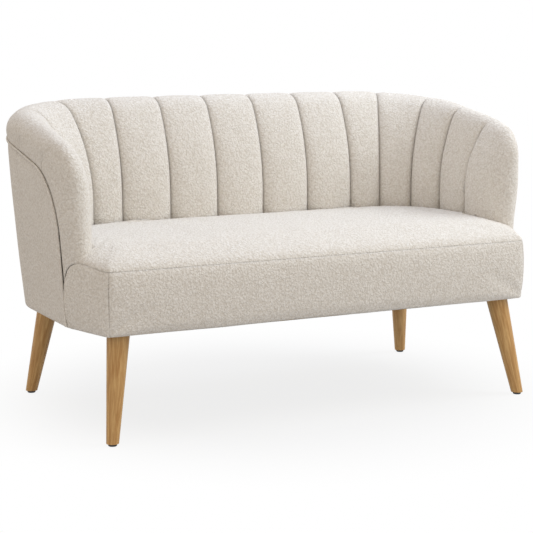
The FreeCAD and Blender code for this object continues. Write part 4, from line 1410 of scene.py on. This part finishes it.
class LOVESEAT_OT_stage(Operator):
    """Sets the floor, the light and the camera"""
    bl_idname = "loveseat.stage"
    bl_label = "Stage"

    def execute(self, context):
        self.set_camera(context.scene)
        self.lay_floor()
        self.light_world(context.scene)
        area_light("key", place=(2.9, -1.1, 3.0), size=2.0, power=85, tint=COOL)
        area_light("top", place=(0.4, 0.7, 3.6), size=3.0, power=38, tint=BLUE)
        context.scene.view_settings.view_transform = "Standard"
        return {"FINISHED"}

    def set_camera(self, scene):
        camera = bpy.data.objects.new("camera", bpy.data.cameras.new("camera"))
        camera.data.lens = LENS
        aim(camera, EYE, TARGET)
        scene.camera = camera

    def lay_floor(self):
        bpy.ops.object.select_all(action="DESELECT")
        bpy.ops.mesh.primitive_plane_add(size=40, location=(0, 0, 0))
        floor = bpy.context.object
        floor.name = "floor"
        material, tree, place = new_material("seamless_white_paper")
        matt = node(tree, "BsdfDiffuse", {"Color": solid(sizes().colours.paper)})
        white = node(tree, "Emission", {"Color": WHITE, "Strength": 1.0})
        far = node(tree, "VectorMath", {"operation": "LENGTH", 0: place}).outputs["Value"]
        lit = spread(tree, far, 0.4, 0.9, interpolation_type="SMOOTHSTEP", **{"To Min": 0.82})
        share = maths(tree, "MULTIPLY", seen_directly(tree), lit)
        mixed_output(tree, "OutputMaterial", share, matt, white)
        floor.data.materials.append(material)

    def light_world(self, scene):
        world = bpy.data.worlds.new("studio")
        world.use_nodes = True
        tree = world.node_tree
        tree.nodes.clear()
        soft = node(tree, "Background", {"Color": solid(WARM), "Strength": 0.71})
        white = node(tree, "Background", {"Color": WHITE, "Strength": 1.0})
        mixed_output(tree, "OutputWorld", seen_directly(tree), soft, white)
        scene.world = world


# Panel and registration

class LoveseatSettings(PropertyGroup):
    """All the loveseat's sizes and colours."""
    outside: PointerProperty(type=OutsideSizes)
    inside: PointerProperty(type=BackSizes)
    arms: PointerProperty(type=ArmSizes)
    seat: PointerProperty(type=SeatSizes)
    colours: PointerProperty(type=LoveseatColours)


STEPS = (LOVESEAT_OT_stage, LOVESEAT_OT_legs, LOVESEAT_OT_frame, LOVESEAT_OT_lining, LOVESEAT_OT_back,
         LOVESEAT_OT_arms, LOVESEAT_OT_seat, LOVESEAT_OT_outside)


class LOVESEAT_PT_steps(Panel):
    """Lists the steps that dress the loveseat"""
    bl_idname = "LOVESEAT_PT_steps"
    bl_label = "Loveseat"
    bl_space_type = "VIEW_3D"
    bl_region_type = "UI"
    bl_category = "Loveseat"

    def draw(self, context):
        for step in STEPS:
            self.layout.operator(step.bl_idname)


CLASSES = (OutsideSizes, BackSizes, ArmSizes, SeatSizes, LoveseatColours, LoveseatSettings, *STEPS,
           LOVESEAT_PT_steps)


def register():
    for kind in CLASSES:
        bpy.utils.register_class(kind)
    bpy.types.Scene.loveseat = PointerProperty(type=LoveseatSettings)


def unregister():
    del bpy.types.Scene.loveseat
    for kind in reversed(CLASSES):
        bpy.utils.unregister_class(kind)


def main():
    register()
    for step in STEPS:
        group, name = step.bl_idname.split(".")
        getattr(getattr(bpy.ops, group), name)()


if __name__ == "__main__":
    main()
